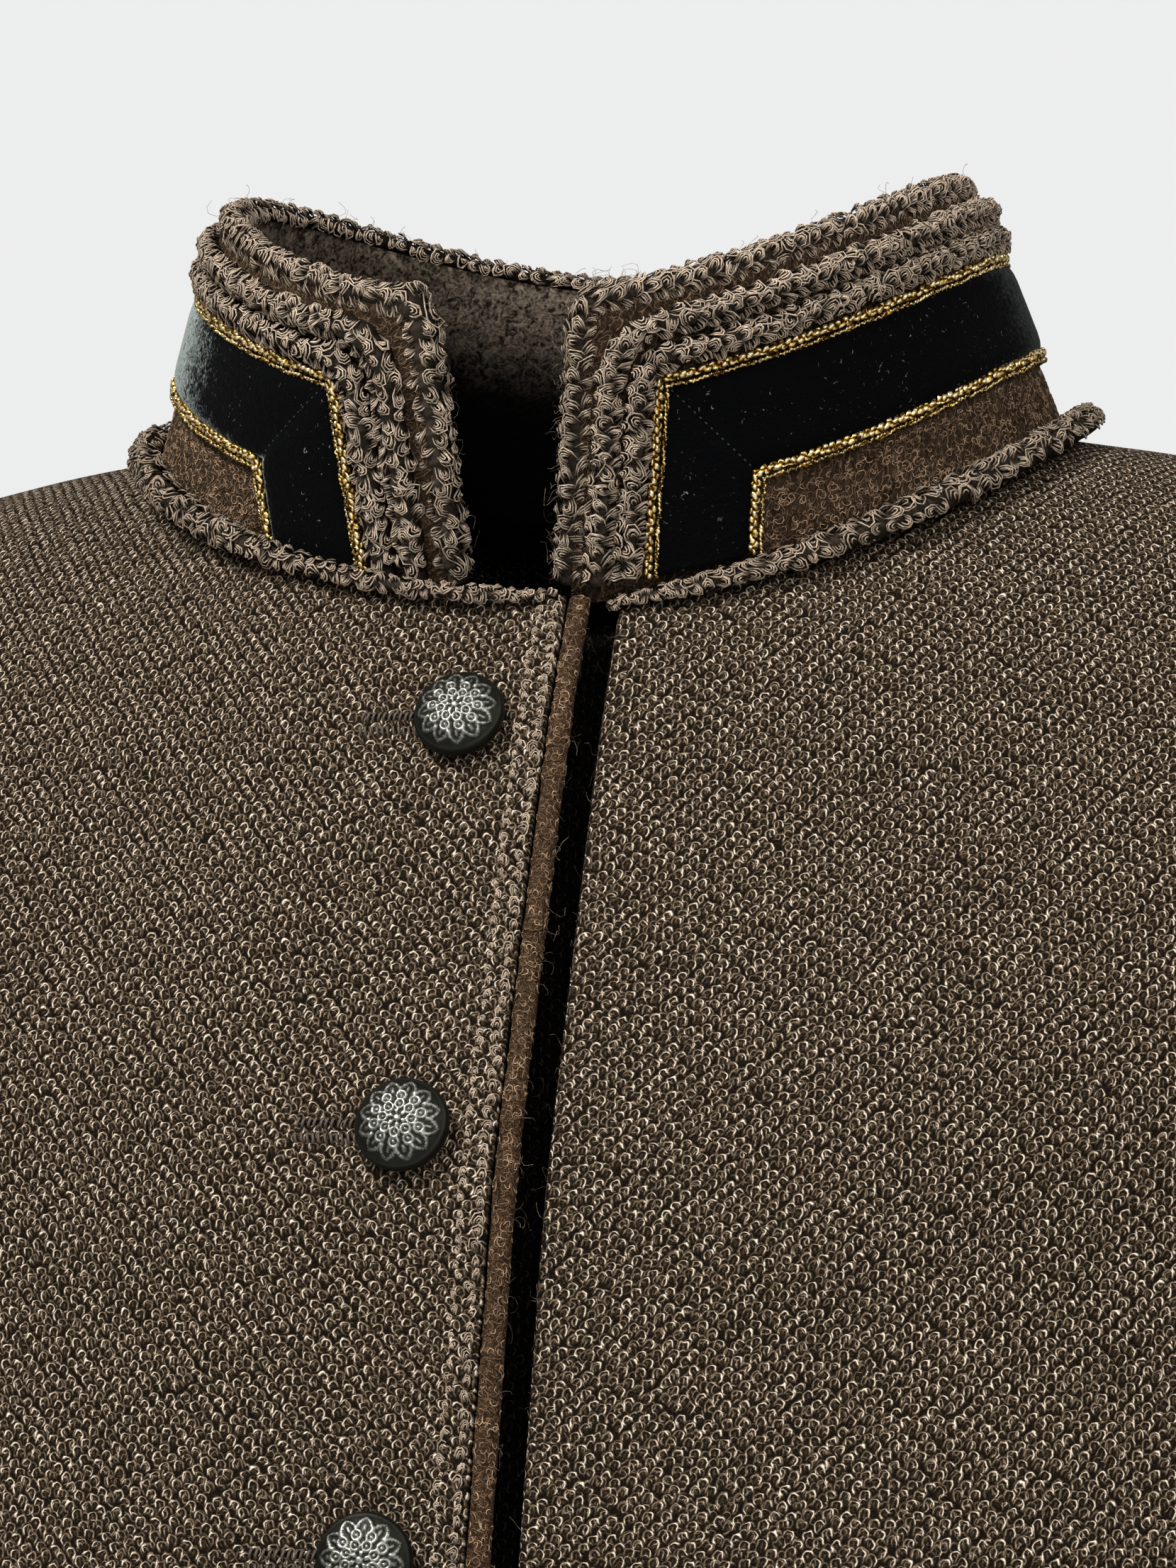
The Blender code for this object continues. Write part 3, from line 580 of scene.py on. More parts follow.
@dataclass(frozen=True)
class KnitFinish:
    """Purl knit of a fine plied yarn: upright loops in slanting rows, with painted shade in the gaps under
    them and a painted highlight on their crests.

    The loops stand on a lattice turned by an eighth of a turn, so that each row of them is set off by
    half a stitch. One of the lattice's two ways has a groove between its rows, darkened with painted shade.
    """

    name: str = "knit_purl"
    stitch: float = 0.00270
    wander: float = 0.42
    groove: float = 0.56
    depth: float = 0.00060
    # painted shade: gap and low darken the hollows under the loops; painted highlight: crest lights their
    # tops
    gap: Colour = (0.0030, 0.0018, 0.0010)
    low: Colour = (0.044, 0.030, 0.0175)
    middle: Colour = (0.215, 0.158, 0.105)
    crest: Colour = (0.920, 0.765, 0.600)

    def build(self) -> Material:
        """The knit's material.

        Returns:
            The material.
        """
        graph = Graph(self.name)
        vector, along, down = graph.measure()
        broad = graph.noise(vector, 95.0, 1.0)
        fine = graph.noise(vector, 700.0, 1.0)
        bend = (broad - 0.5) * self.wander + (fine - 0.5) * 0.30
        right = (along + down) / self.stitch + bend
        left = (down - along) / self.stitch + bend * 0.6 + (fine - 0.5) * 0.35
        cells, eighth = graph.combined(right, left), TURN / 8
        rings, chance = CurlPattern(lean=eighth).height(graph, cells)
        small = CurlPattern(jitter=0.9, lean=eighth, spin=1.6, radius=0.36, spacing=0.40, open_to=0.5)
        under, _ = small.height(graph, graph.vector("SCALE", cells, Scale=1.22), 7.3)
        # painted shade: the grooves between rows are darker in colour as well as lower
        sunk = (1.0 - self.groove) + self.groove * (right - 0.25).wave()
        height = (rings * (0.72 + 0.45 * chance)).math("MAXIMUM", under * 0.55) * sunk
        fibre = graph.noise(vector, 3600.0, 1.0)
        lit = (height * (0.66 + 0.66 * fibre) + (fibre - 0.44) * 0.36 * sunk).clamped()
        # the height picks the colour: painted shade in the gaps, painted highlight on the crests
        stops = [(0.0, self.gap), (0.20, self.low), (0.50, self.middle), (0.86, self.crest)]
        # the mesh's shade attribute adds painted shade, such as the groove beside the piping and the inner
        # faces
        colour = graph.tint(graph.ramp(lit, stops), (0.80 + 0.40 * broad) * graph.shade())
        return graph.finish(colour, height, self.depth, Roughness=0.92, Specular_IOR_Level=0.05)


@dataclass(frozen=True)
class YarnFinish:
    """A plied yarn on real strands: slanting plies, with painted shade where a strand lies low and on its
    sides, and a painted highlight on its outward face.
    """

    name: str
    light: Colour
    dark: Colour
    plies: float = 2.0
    lay: float = 0.0016
    fibre_scale: float = 2600.0
    depth: float = 0.00012

    def build(self) -> Material:
        """The yarn's material, with painted shade on the side of a strand that lies underneath.

        Returns:
            The material.
        """
        graph = Graph(self.name)
        _, along, around = graph.measure()
        lines = (around * self.plies + along / self.lay).wave()
        fibre = graph.noise(graph.place(), self.fibre_scale, 2.0, 0.5)
        patch = graph.noise(graph.place(), 160.0, 2.0)
        # painted highlight on the strand's outward face and painted shade on its sides, times the mesh's
        # painted shade
        top = 0.5 + 0.5 * (around * TURN + TURN / 8).math("SINE")
        shade = graph.shade() * (0.06 + 1.0 * top**2.4)
        lit = (shade * (0.26 + 0.34 * lines + 0.66 * fibre) * (0.80 + 0.40 * patch)).clamped()
        colour = graph.mix(lit, self.dark, self.light)
        height = lines * 0.7 + fibre * 0.3
        return graph.finish(colour, height, self.depth, Roughness=0.85, Specular_IOR_Level=0.06)


@dataclass(frozen=True)
class FeltFinish:
    """Brown wool felt with two layers of fine curled fibres pressed into it.

    Girth is the length of one turn, for a roll whose measure counts turns.
    """

    name: str
    ground: Colour
    fibre: Colour
    curl: float = 0.00190
    girth: float = 1.0
    depth: float = 0.00026

    def build(self) -> Material:
        """The felt's material.

        Returns:
            The material.
        """
        graph = Graph(self.name)
        _, along, round_it = graph.measure()
        vector = graph.combined(along, round_it * self.girth)
        bend = graph.noise(vector, 420.0, 1.0)
        cells = graph.combined(along / self.curl + bend, round_it * (self.girth / self.curl) + bend * 1.4)
        wide = CurlPattern(jitter=1.0, spin=math.pi, radius=0.46, spacing=0.30, open_to=0.50)
        first, chance = wide.height(graph, cells)
        second, _ = wide.height(graph, graph.vector("SCALE", cells, Scale=1.45), 3.7)
        curls = (first * (0.45 + 0.70 * chance)).math("MAXIMUM", second * 0.8)
        mottle = graph.noise(vector, 210.0, 2.0)
        fine = graph.noise(vector, 3400.0, 1.0)
        colour = graph.mix((curls * (0.55 + 0.6 * fine)).clamped(), self.ground, self.fibre)
        colour = graph.tint(colour, (0.45 + 0.80 * mottle + 0.70 * (fine - 0.5)) * graph.shade())
        height = curls * 0.8 + mottle * 0.3 + fine * 0.15
        return graph.finish(colour, height, self.depth, Roughness=0.95, Specular_IOR_Level=0.05)


@dataclass(frozen=True)
class FacingFinish:
    """The fuzzy knitted facing inside the collar, with painted shade darkest low down where nothing lights
    it.
    """

    name: str = "knit_facing"
    light: Colour = (0.165, 0.129, 0.096)
    dark: Colour = (0.012, 0.0088, 0.0062)
    depth: float = 0.0006

    def build(self) -> Material:
        """The facing's material.

        Returns:
            The material.
        """
        graph = Graph(self.name)
        place = graph.place()
        rough = graph.noise(place, 560.0, 2.0, 1.4)
        fine = graph.noise(place, 1900.0, 2.0, 0.5)
        lit = ((rough - 0.5) * 2.6 + (fine - 0.5) * 1.6 + 0.42).clamped()
        colour = graph.tint(graph.mix(lit, self.dark, self.light), graph.shade())
        height = rough * 0.7 + fine * 0.3
        return graph.finish(colour, height, self.depth, Roughness=0.97, Specular_IOR_Level=0.02)


@dataclass(frozen=True)
class VelvetFinish:
    """Black pile with a painted grey-green sheen at a glancing angle, and specks of lint.

    The painted sheen is strong on the wearer's right and weak on the left, which stays black.
    """

    name: str = "velvet_black"
    pile: Colour = (0.0012, 0.0013, 0.0016)
    # glance is the colour of the painted sheen
    glance: Colour = (0.30, 0.335, 0.315)
    lint: Colour = (0.20, 0.20, 0.195)

    def build(self) -> Material:
        """The velvet's material.

        Returns:
            The material.
        """
        graph = Graph(self.name)
        place = graph.place()
        strokes = graph.noise(place, 900.0, 3.0, 1.5)
        facing = graph.node("ShaderNodeLayerWeight", {}, {"Blend": 0.5}, "Facing")
        # painted sheen: the glancing colour goes into the base colour, kept mostly to the wearer's right (-x)
        painted_sheen_side = 1.0 - 0.88 * graph.part(place, "X").between(0.0, 0.05)
        glance = (facing * (0.55 + 0.90 * strokes)).between(0.62, 0.92) * painted_sheen_side
        colour = graph.mix(glance, self.pile, self.glance)
        lint = graph.noise(place, 1250.0, 1.0, 1.0).between(0.70, 0.80)
        colour = graph.mix(lint * graph.noise(place, 95.0, 1.0).between(0.42, 0.62), colour, self.lint)
        sheen = {"Sheen_Weight": 0.02, "Sheen_Roughness": 0.35}
        return graph.finish(colour, strokes, 0.00025, Roughness=0.9, Specular_IOR_Level=0.04, **sheen)


@dataclass(frozen=True)
class GoldFinish:
    """Metal thread wound on a core: wraps with a painted highlight on their crests and painted brown shade
    between them.
    """

    name: str = "gold_thread"
    bright: Colour = (1.0, 0.83, 0.46)
    gold: Colour = (0.66, 0.37, 0.052)
    brown: Colour = (0.035, 0.016, 0.003)
    wrap: float = 0.00105

    def build(self) -> Material:
        """The gold thread's material.

        Returns:
            The material.
        """
        graph = Graph(self.name)
        _, along, around = graph.measure()
        worn = graph.noise(graph.place(), 620.0, 1.0)
        wraps = (along / self.wrap + around + worn * 1.5).wave()
        # painted highlight: the bright stop lights the wraps' crests; painted shade: brown between them and
        # on the strands' undersides
        lit = (graph.shade() * (0.10 + 0.95 * wraps) * (0.45 + 1.10 * worn)).clamped()
        colour = graph.ramp(lit, [(0.14, self.brown), (0.42, self.gold), (0.78, self.bright)])
        metal = {"Roughness": 0.48 - 0.20 * wraps, "Metallic": 0.90, "Specular_IOR_Level": 0.6}
        return graph.finish(colour, wraps, 0.00018, **metal)


@dataclass(frozen=True)
class MetalFinish:
    """Antiqued silver-grey metal: dark in the hollows and rubbed bright on the ridges."""

    name: str = "metal_antique"
    hollow: Colour = (0.014, 0.0138, 0.0105)
    ridge: Colour = (0.32, 0.32, 0.285)

    def build(self) -> Material:
        """The buttons' material.

        Returns:
            The material.
        """
        graph = Graph(self.name)
        grain = graph.noise(graph.place(), 900.0, 2.0)
        ridge = (graph.shade() * (0.45 + 1.05 * grain)).clamped()
        colour = graph.mix(ridge, self.hollow, self.ridge)
        return graph.finish(colour, grain, 0.00005, Roughness=0.52 - 0.14 * ridge, Metallic=1.0)


@dataclass(frozen=True)
class FloorFinish:
    """The plain pale studio floor."""

    name: str = "studio_floor"
    colour: Colour = (0.80, 0.80, 0.80)

    def build(self) -> Material:
        """The floor's material.

        Returns:
            The material.
        """
        graph = Graph(self.name)
        cloud = graph.noise(graph.place(), 2.0, 2.0)
        colour = graph.tint(graph.mix(0.0, self.colour, self.colour), 0.98 + 0.04 * cloud)
        return graph.finish(colour, Roughness=0.8, Specular_IOR_Level=0.2)


# Forms that the solids share


@dataclass
class BodyForm:
    """The body's cloth as a family of rings from the neckline to the hem, cut at the front."""

    knit: float = 0.0026
    seam: float = 0.0004
    y_side: float = 0.004
    bust: tuple[float, float, float, float] = (0.084, -0.214, 0.056, 0.011)
    lap_edge: float = 0.0080
    lap_lift: float = 0.0034
    lap_ramp: Pair = (-0.070, -0.026)
    underlap_edge: float = -0.022
    underlap_drop: float = 0.0016
    groove_drop: float = 0.0065
    groove_x: Pair = (0.0010, 0.0142)
    groove_slope: float = 0.0026
    rib_width: float = 0.0052
    rib_rise: float = 0.0009
    armhole_front: float = math.radians(35)
    armhole_back: float = math.radians(29)

    # half_width, y_front, y_back, z_front, z_side, z_back, square
    RINGS = np.array([
        (0.0818, -0.0600, 0.0606, -0.0304, 0.0004, -0.0110, 0.000),
        (0.1090, -0.0735, 0.0730, -0.0520, -0.0045, -0.0240, 0.000),
        (0.1500, -0.0905, 0.0875, -0.0850, -0.0150, -0.0540, 0.005),
        (0.1930, -0.1065, 0.0980, -0.1180, -0.0300, -0.0950, 0.010),
        (0.1970, -0.1150, 0.1040, -0.1450, -0.0860, -0.1270, 0.015),
        (0.1950, -0.1225, 0.1070, -0.1730, -0.1310, -0.1570, 0.020),
        (0.1880, -0.1280, 0.1080, -0.2000, -0.1730, -0.1860, 0.025),
        (0.1770, -0.1310, 0.1070, -0.2260, -0.2110, -0.2160, 0.030),
        (0.1690, -0.1280, 0.1030, -0.2720, -0.2620, -0.2640, 0.030),
        (0.1590, -0.1180, 0.0960, -0.3220, -0.3150, -0.3160, 0.030),
        (0.1530, -0.1100, 0.0920, -0.3740, -0.3700, -0.3700, 0.030),
        (0.1610, -0.1120, 0.0990, -0.4340, -0.4320, -0.4320, 0.030),
        (0.1750, -0.1190, 0.1110, -0.5040, -0.5030, -0.5030, 0.030),
        (0.1850, -0.1250, 0.1180, -0.5700, -0.5700, -0.5700, 0.030),
    ])
    TIP, ARMPIT, HEM = 3, 7, 13

    # Folds: start, end, depth (below 0 is a trough), width, and whether there is a twin at -x
    FOLDS = (
        ((0.150, -0.075, -0.225), (0.105, -0.118, -0.285), -0.0040, 0.016, True),
        ((0.163, -0.050, -0.240), (0.128, -0.095, -0.320), -0.0032, 0.018, True),
        ((0.160, 0.060, -0.235), (0.110, 0.095, -0.300), -0.0036, 0.018, True),
        ((0.150, -0.045, -0.352), (0.085, -0.100, -0.372), -0.0044, 0.018, True),
        ((0.150, 0.040, -0.340), (0.075, 0.085, -0.366), -0.0048, 0.019, False),
        ((-0.150, 0.035, -0.355), (-0.060, 0.088, -0.340), -0.0040, 0.018, False),
        ((0.060, 0.105, -0.395), (0.075, 0.118, -0.560), 0.0050, 0.030, False),
        ((-0.050, 0.105, -0.400), (-0.085, 0.118, -0.560), 0.0044, 0.027, False),
        ((0.125, -0.085, -0.420), (0.140, -0.090, -0.565), 0.0048, 0.028, True),
        ((0.205, -0.030, -0.350), (0.262, -0.052, -0.372), -0.0050, 0.014, True),
        ((0.210, -0.040, -0.392), (0.265, -0.055, -0.398), -0.0042, 0.014, False),
        ((-0.208, -0.036, -0.400), (-0.262, -0.056, -0.388), -0.0046, 0.014, False),
        ((0.275, 0.030, -0.350), (0.240, 0.058, -0.388), -0.0030, 0.016, True),
        ((0.205, 0.000, -0.290), (0.240, -0.058, -0.268), -0.0038, 0.016, True),
        ((0.225, -0.045, -0.470), (0.280, -0.050, -0.488), -0.0034, 0.014, True),
    )

    def sizes(self, ring: Array) -> Array:
        """The table's columns at positions counted in rings, first axis first."""
        return np.moveaxis(through(self.RINGS, ring), -1, 0)

    def point(self, angle: Array, ring: Array) -> Array:
        """The cloth's outer face before folds: a squared ellipse a ring, with the bust as a low dome.

        Args:
            angle: 0 at the centre front, a quarter turn at the wearer's left side.
            ring: the ring, counted from the neckline.

        Returns:
            The points.
        """
        angle, ring = np.broadcast_arrays(np.asarray(angle, float), np.asarray(ring, float))
        half, y_front, y_back, z_front, z_side, z_back, square = self.sizes(ring)
        x = half * (np.sin(angle) + square * np.sin(3 * angle)) / (1 - square)
        inward = (np.cos(angle) - square * np.cos(3 * angle)) / (1 - square)
        y = self.y_side + np.where(inward > 0, y_front - self.y_side, self.y_side - y_back) * inward
        z = side_wave(z_front, z_side, z_back, angle)
        bust_x, bust_z, wide, rise = self.bust
        cup = np.exp(-((np.abs(x) - bust_x) ** 2 + (z - bust_z) ** 2) / wide**2)
        y = y - rise * cup * smoothstep(-y, 0.02, 0.09)
        return np.stack([x, y, z], axis=-1)

    def normal(self, angle: Array, ring: Array) -> Array:
        """The outward direction, from small steps along and across the rings.

        Args:
            angle: 0 at the centre front, a quarter turn at the wearer's left side.
            ring: the ring, counted from the neckline.

        Returns:
            Unit vectors.
        """
        step = 1e-3
        ring = np.asarray(ring, float)
        low, high = np.maximum(ring - step, 0.0), np.minimum(ring + step, float(self.HEM))
        along = self.point(angle + step, ring) - self.point(angle - step, ring)
        return unit(np.cross(self.point(angle, high) - self.point(angle, low), along))

    def fold_height(self, points: Array) -> Array:
        """How far the folds move the cloth out: each is a Gaussian of the distance to a line.

        Args:
            points: points of the cloth.

        Returns:
            The height at each.
        """
        total = np.zeros(points.shape[:-1])
        for start, end, depth, width, mirrored in self.FOLDS:
            for side in (1, -1) if mirrored else (1,):
                first, last = np.array(start) * (side, 1, 1), np.array(end) * (side, 1, 1)
                line = last - first
                share = np.clip(((points - first) @ line) / (line @ line), 0.0, 1.0)
                away = np.linalg.norm(points - first - share[..., None] * line, axis=-1)
                total += depth * np.exp(-((away / width) ** 2))
        return total

    def edge_angle(self, x: Any, ring: Array) -> Array:
        """The angle where a line at this x crosses each ring."""
        return np.arcsin(x / self.sizes(ring)[0])

    def lap_height(self, x: Array) -> Array:
        """How far the right front is raised over the left: a smooth ramp towards its edge."""
        return self.lap_lift * smoothstep(x, *self.lap_ramp)

    def groove_height(self, x: Array) -> Array:
        """How far the left front lies lower under the lap, with the groove beside the piping."""
        under = self.underlap_drop * (1 - smoothstep(x, *self.groove_x))
        return -under - self.groove_drop * self.groove_share(x)

    def groove_share(self, x: Array) -> Array:
        """1 on the groove's floor and 0 outside it."""
        first, last = self.groove_x
        inner = smoothstep(x, first - 2 * self.groove_slope, first)
        return inner * (1 - smoothstep(x, last, last + self.groove_slope))

    def armhole_cut(self, ring: Array, widest: float) -> Array:
        """The angle that the armhole takes off a panel's side: an ellipse over the rings."""
        share = np.clip((ring - self.TIP) / (self.ARMPIT - self.TIP), 0.0, 1.0)
        return widest * np.sqrt(4 * share * (1 - share))

    def rows(self, yoke: int, armhole: int, skirt: int) -> Array:
        """Where the rows of a panel lie, closest at the top and bottom of the armhole.

        Args:
            yoke: steps above the armhole.
            armhole: steps beside it.
            skirt: steps below it.

        Returns:
            The rows, counted in rings.
        """
        turn = np.linspace(0.0, math.pi, armhole + 1)
        middle = self.TIP + (self.ARMPIT - self.TIP) * (1 - np.cos(turn)) / 2
        above, below = np.linspace(0.0, self.TIP, yoke + 1), np.linspace(self.ARMPIT, self.HEM, skirt + 1)
        return np.concatenate([above[:-1], middle, below[1:]])

    def right_face(self, x: Any, ring: Array) -> Arrays:
        """The right front's outer face at a line of this x, with its normals, lap and folds in.

        Args:
            x: the line's x, or one for each ring.
            ring: rings, counted from the neckline.

        Returns:
            Points and normals.
        """
        angle = self.edge_angle(x, ring)
        base, normal = self.point(angle, ring), self.normal(angle, ring)
        raised = self.fold_height(base) + self.lap_height(base[..., 0])
        return base + normal * raised[..., None], normal


@dataclass
class StandForm:
    """The stand collar's outer face: straight lines between two ellipses, and the routes on it."""

    height: float = 0.0480
    foot: float = 0.0030
    left_gap: Pair = (0.0050, 0.0118)
    right_gap: Pair = (0.0090, 0.0114)
    right_spread: Pair = (1.17, 1.45)

    # half_width, depth, y, z_front, z_side, z_back
    BASE = (0.0813, 0.0598, 0.0004, -0.0298, 0.0009, -0.0104)
    TOP = (0.0644, 0.0674, -0.0080, 0.0198, 0.0458, 0.0366)

    @staticmethod
    def ring(sizes: tuple[float, ...], angle: Array) -> Array:
        """One ellipse of the stand, whose height follows the neckline."""
        half, depth, y, z_front, z_side, z_back = sizes
        z = side_wave(z_front, z_side, z_back, angle)
        return np.stack([half * np.sin(angle), y - depth * np.cos(angle), z], axis=-1)

    def point(self, angle: Array, height: Array) -> Array:
        """The outer face at an angle and a height above the seam."""
        angle, height = np.broadcast_arrays(np.asarray(angle, float), np.asarray(height, float))
        share = (height / self.height)[..., None]
        return self.ring(self.BASE, angle) * (1 - share) + self.ring(self.TOP, angle) * share

    def normal(self, angle: Array, height: Array) -> Array:
        """The outward direction, from small steps along and up."""
        step = 1e-4
        along = self.point(angle + step, height) - self.point(angle - step, height)
        return unit(np.cross(along, self.point(angle, height + step) - self.point(angle, height - step)))

    def from_edge(self, inset: Any, height: Array, side: int) -> Array:
        """The distance round from the centre front of a line that keeps its inset from the outline.

        Args:
            inset: the line's distance from the outline.
            height: heights above the seam.
            side: 1 beside the wearer's left edge, -1 beside the right.

        Returns:
            The distance at each height.
        """
        base, top = self.left_gap if side > 0 else self.right_gap
        low, high = (1.0, 1.0) if side > 0 else self.right_spread
        share = height / self.height
        return base + (top - base) * share + inset * (low + (high - low) * share)

    def wide(self, height: Array, side: int) -> Array:
        """How much wider the trims lie there."""
        low, high = (1.0, 1.0) if side > 0 else self.right_spread
        return low + (high - low) * height / self.height

    def angle_at(self, distance: Array, height: Array) -> Array:
        """The angle at a distance round the stand from the centre front, at each height.

        Args:
            distance: the distances.
            height: the heights.

        Returns:
            The angles.
        """
        distance, height = np.broadcast_arrays(np.asarray(distance, float), np.asarray(height, float))
        dense = np.linspace(0.0, TURN, 721)
        found = np.empty(distance.shape)
        for level in np.unique(height):
            length = running_length(self.point(dense, level))
            here = height == level
            found[here] = np.interp(distance[here], length, dense)
        return found

    def girth(self, height: float) -> float:
        """The way all round at a height."""
        return float(running_length(self.point(np.linspace(0.0, TURN, 721), height))[-1])

    def across(self, near: float, height: float, count: int) -> Array:
        """Angles at equal steps round the stand at a height, from this far inside one edge to the other."""
        start, stop = self.from_edge(near, height, 1), self.girth(height) - self.from_edge(near, height, -1)
        return self.angle_at(np.linspace(start, stop, count), np.full(count, height))

    def leg(self, inset: float, corner: float, side: int, steps: int = 9) -> Arrays:
        """A route beside one front edge, from the foot round the corner.

        Args:
            inset: the line's distance from the outline.
            corner: the corner's radius.
            side: 1 beside the wearer's left edge, -1 beside the right.
            steps: points up to the corner.

        Returns:
            Distances from the centre front, and heights.
        """
        straight = self.height - inset - corner
        turn = np.linspace(0.0, math.pi / 2, 7)[1:]
        heights = np.concatenate([np.linspace(self.foot, straight, steps), straight + corner * np.sin(turn)])
        bend = np.concatenate([np.zeros(steps), corner * (1 - np.cos(turn))])
        return self.from_edge(inset, heights, side) + bend, heights

    def around(self, left: Array, right: Array, heights: Array, top: float, count: int) -> Arrays:
        """A line up the left leg, round the neck and down the right leg.

        Args:
            left: the left leg's distances from the centre front.
            right: the same on the right.
            heights: the heights of both.
            top: the height round the neck.
            count: points round the neck, with the last one of each leg.

        Returns:
            Angles and heights.
        """
        level = np.linspace(left[-1], self.girth(top) - right[-1], count)[1:-1]
        tops = np.full(level.shape, top)
        up, down = self.angle_at(left, heights), TURN - self.angle_at(right, heights)[::-1]
        angle = np.concatenate([up, self.angle_at(level, tops), down])
        return angle, np.concatenate([heights, tops, heights[::-1]])

    def route(self, inset: float, corner: float, count: int) -> tuple[Array, Array, Array]:
        """A trim's route with rounded corners, from the left foot to the right one.

        Args:
            inset: the line's distance from the outline.
            corner: the corners' radius.
            count: points, at equal steps.

        Returns:
            Angles, heights and how wide the trim is there.
        """
        (left, heights), (right, _) = self.leg(inset, corner, 1), self.leg(inset, corner, -1)
        angle, height = self.around(left, right, heights, self.height - inset, 241)
        level = np.ones(len(angle) - 2 * len(heights))
        wide = np.concatenate([self.wide(heights, 1), level, self.wide(heights, -1)[::-1]])
        return resampled(count, angle, height, wide, along=running_length(self.point(angle, height)))

    def length(self, inset: float, corner: float) -> float:
        """The length of a trim's route."""
        angle, height, _ = self.route(inset, corner, 400)
        return float(running_length(self.point(angle, height))[-1])


class FlatPanel:
    """Half of a body panel laid flat, from which its knit takes its measure.

    The first column lies on the centre line. Each link between neighbours of a coarse grid is brought
    back to its true length again and again, which lays the domed cloth flat with the least stretch.
    """

    COLUMNS, ROWS, ROUNDS, DENSE = 15, 27, 2500, 8

    def __init__(self, form: BodyForm, first: float, last: float) -> None:
        """Lays the panel flat.

        Args:
            form: the body.
            first: the angle of the first column, on or past the centre line.
            last: the angle of the last one, at the side.
        """
        self.first, self.last = first, last
        angle = np.linspace(first, last, self.COLUMNS)[None, :]
        ring = np.linspace(0.0, form.HEM, self.ROWS)[:, None]
        points = form.point(angle, ring)
        along, down = running_length(points, 1), running_length(points)
        centre = 0 if first >= math.pi else int(np.argmin(np.abs(angle)))
        start = np.stack([along - along[:, centre : centre + 1], down], axis=-1).reshape(-1, 2)
        flat = self.relaxed(start, points.reshape(-1, 3)).reshape(self.ROWS, self.COLUMNS, 2)
        line = flat[-1, centre] - flat[0, centre]
        x, y = line / np.linalg.norm(line)
        flat = (flat - flat[0, centre]) @ np.array([[y, x], [-x, y]])
        flat[..., 0] -= flat[:, centre : centre + 1, 0].copy()
        self.table = self.denser(self.denser(flat).swapaxes(0, 1)).swapaxes(0, 1)
        self.hem = float(form.HEM)

    def denser(self, grid: Array) -> Array:
        """The grid with smooth rows put in between its rows."""
        at = np.linspace(0, len(grid) - 1, (len(grid) - 1) * self.DENSE + 1)
        return through(grid.reshape(len(grid), -1), at).reshape(len(at), -1, 2)

    def relaxed(self, flat: Array, points: Array) -> Array:
        """The flat points once their links have their true lengths.

        Args:
            flat: a first guess, one point a row.
            points: the true points in space.

        Returns:
            The flat points.
        """
        index = np.arange(self.ROWS * self.COLUMNS).reshape(self.ROWS, self.COLUMNS)
        pairs = ((index[:, :-1], index[:, 1:]), (index[:-1], index[1:]),
                 (index[:-1, :-1], index[1:, 1:]), (index[:-1, 1:], index[1:, :-1]))
        head = np.concatenate([a.ravel() for a, _ in pairs])
        tail = np.concatenate([b.ravel() for _, b in pairs])
        true = np.linalg.norm(points[tail] - points[head], axis=-1)
        share = 1.0 / np.bincount(np.concatenate([head, tail]), minlength=index.size)
        for _ in range(self.ROUNDS):
            gap = flat[tail] - flat[head]
            length = np.linalg.norm(gap, axis=-1)
            move = gap * ((length - true) / length * 0.5)[:, None]
            total = [np.bincount(head, move[:, i], index.size) - np.bincount(tail, move[:, i], index.size)
                     for i in range(2)]
            flat = flat + np.stack(total, axis=-1) * share[:, None] * 1.6
        return flat

    def at(self, angle: Array, ring: Array) -> Array:
        """The measure at angles and rings: away from the centre line, and down from the neckline.

        Args:
            angle: the angles.
            ring: the rings.

        Returns:
            Both lengths at each, stacked last.
        """
        column = (angle - self.first) / (self.last - self.first) * (self.COLUMNS - 1) * self.DENSE
        row = ring / self.hem * (self.ROWS - 1) * self.DENSE
        column = np.clip(column, 0.0, self.table.shape[1] - 1.001)
        row = np.clip(row, 0.0, self.table.shape[0] - 1.001)
        i, j = row.astype(int), column.astype(int)
        v, u = (row - i)[..., None], (column - j)[..., None]
        top = self.table[i, j] * (1 - u) + self.table[i, j + 1] * u
        low = self.table[i + 1, j] * (1 - u) + self.table[i + 1, j + 1] * u
        return top * (1 - v) + low * v


# Sub-assemblies


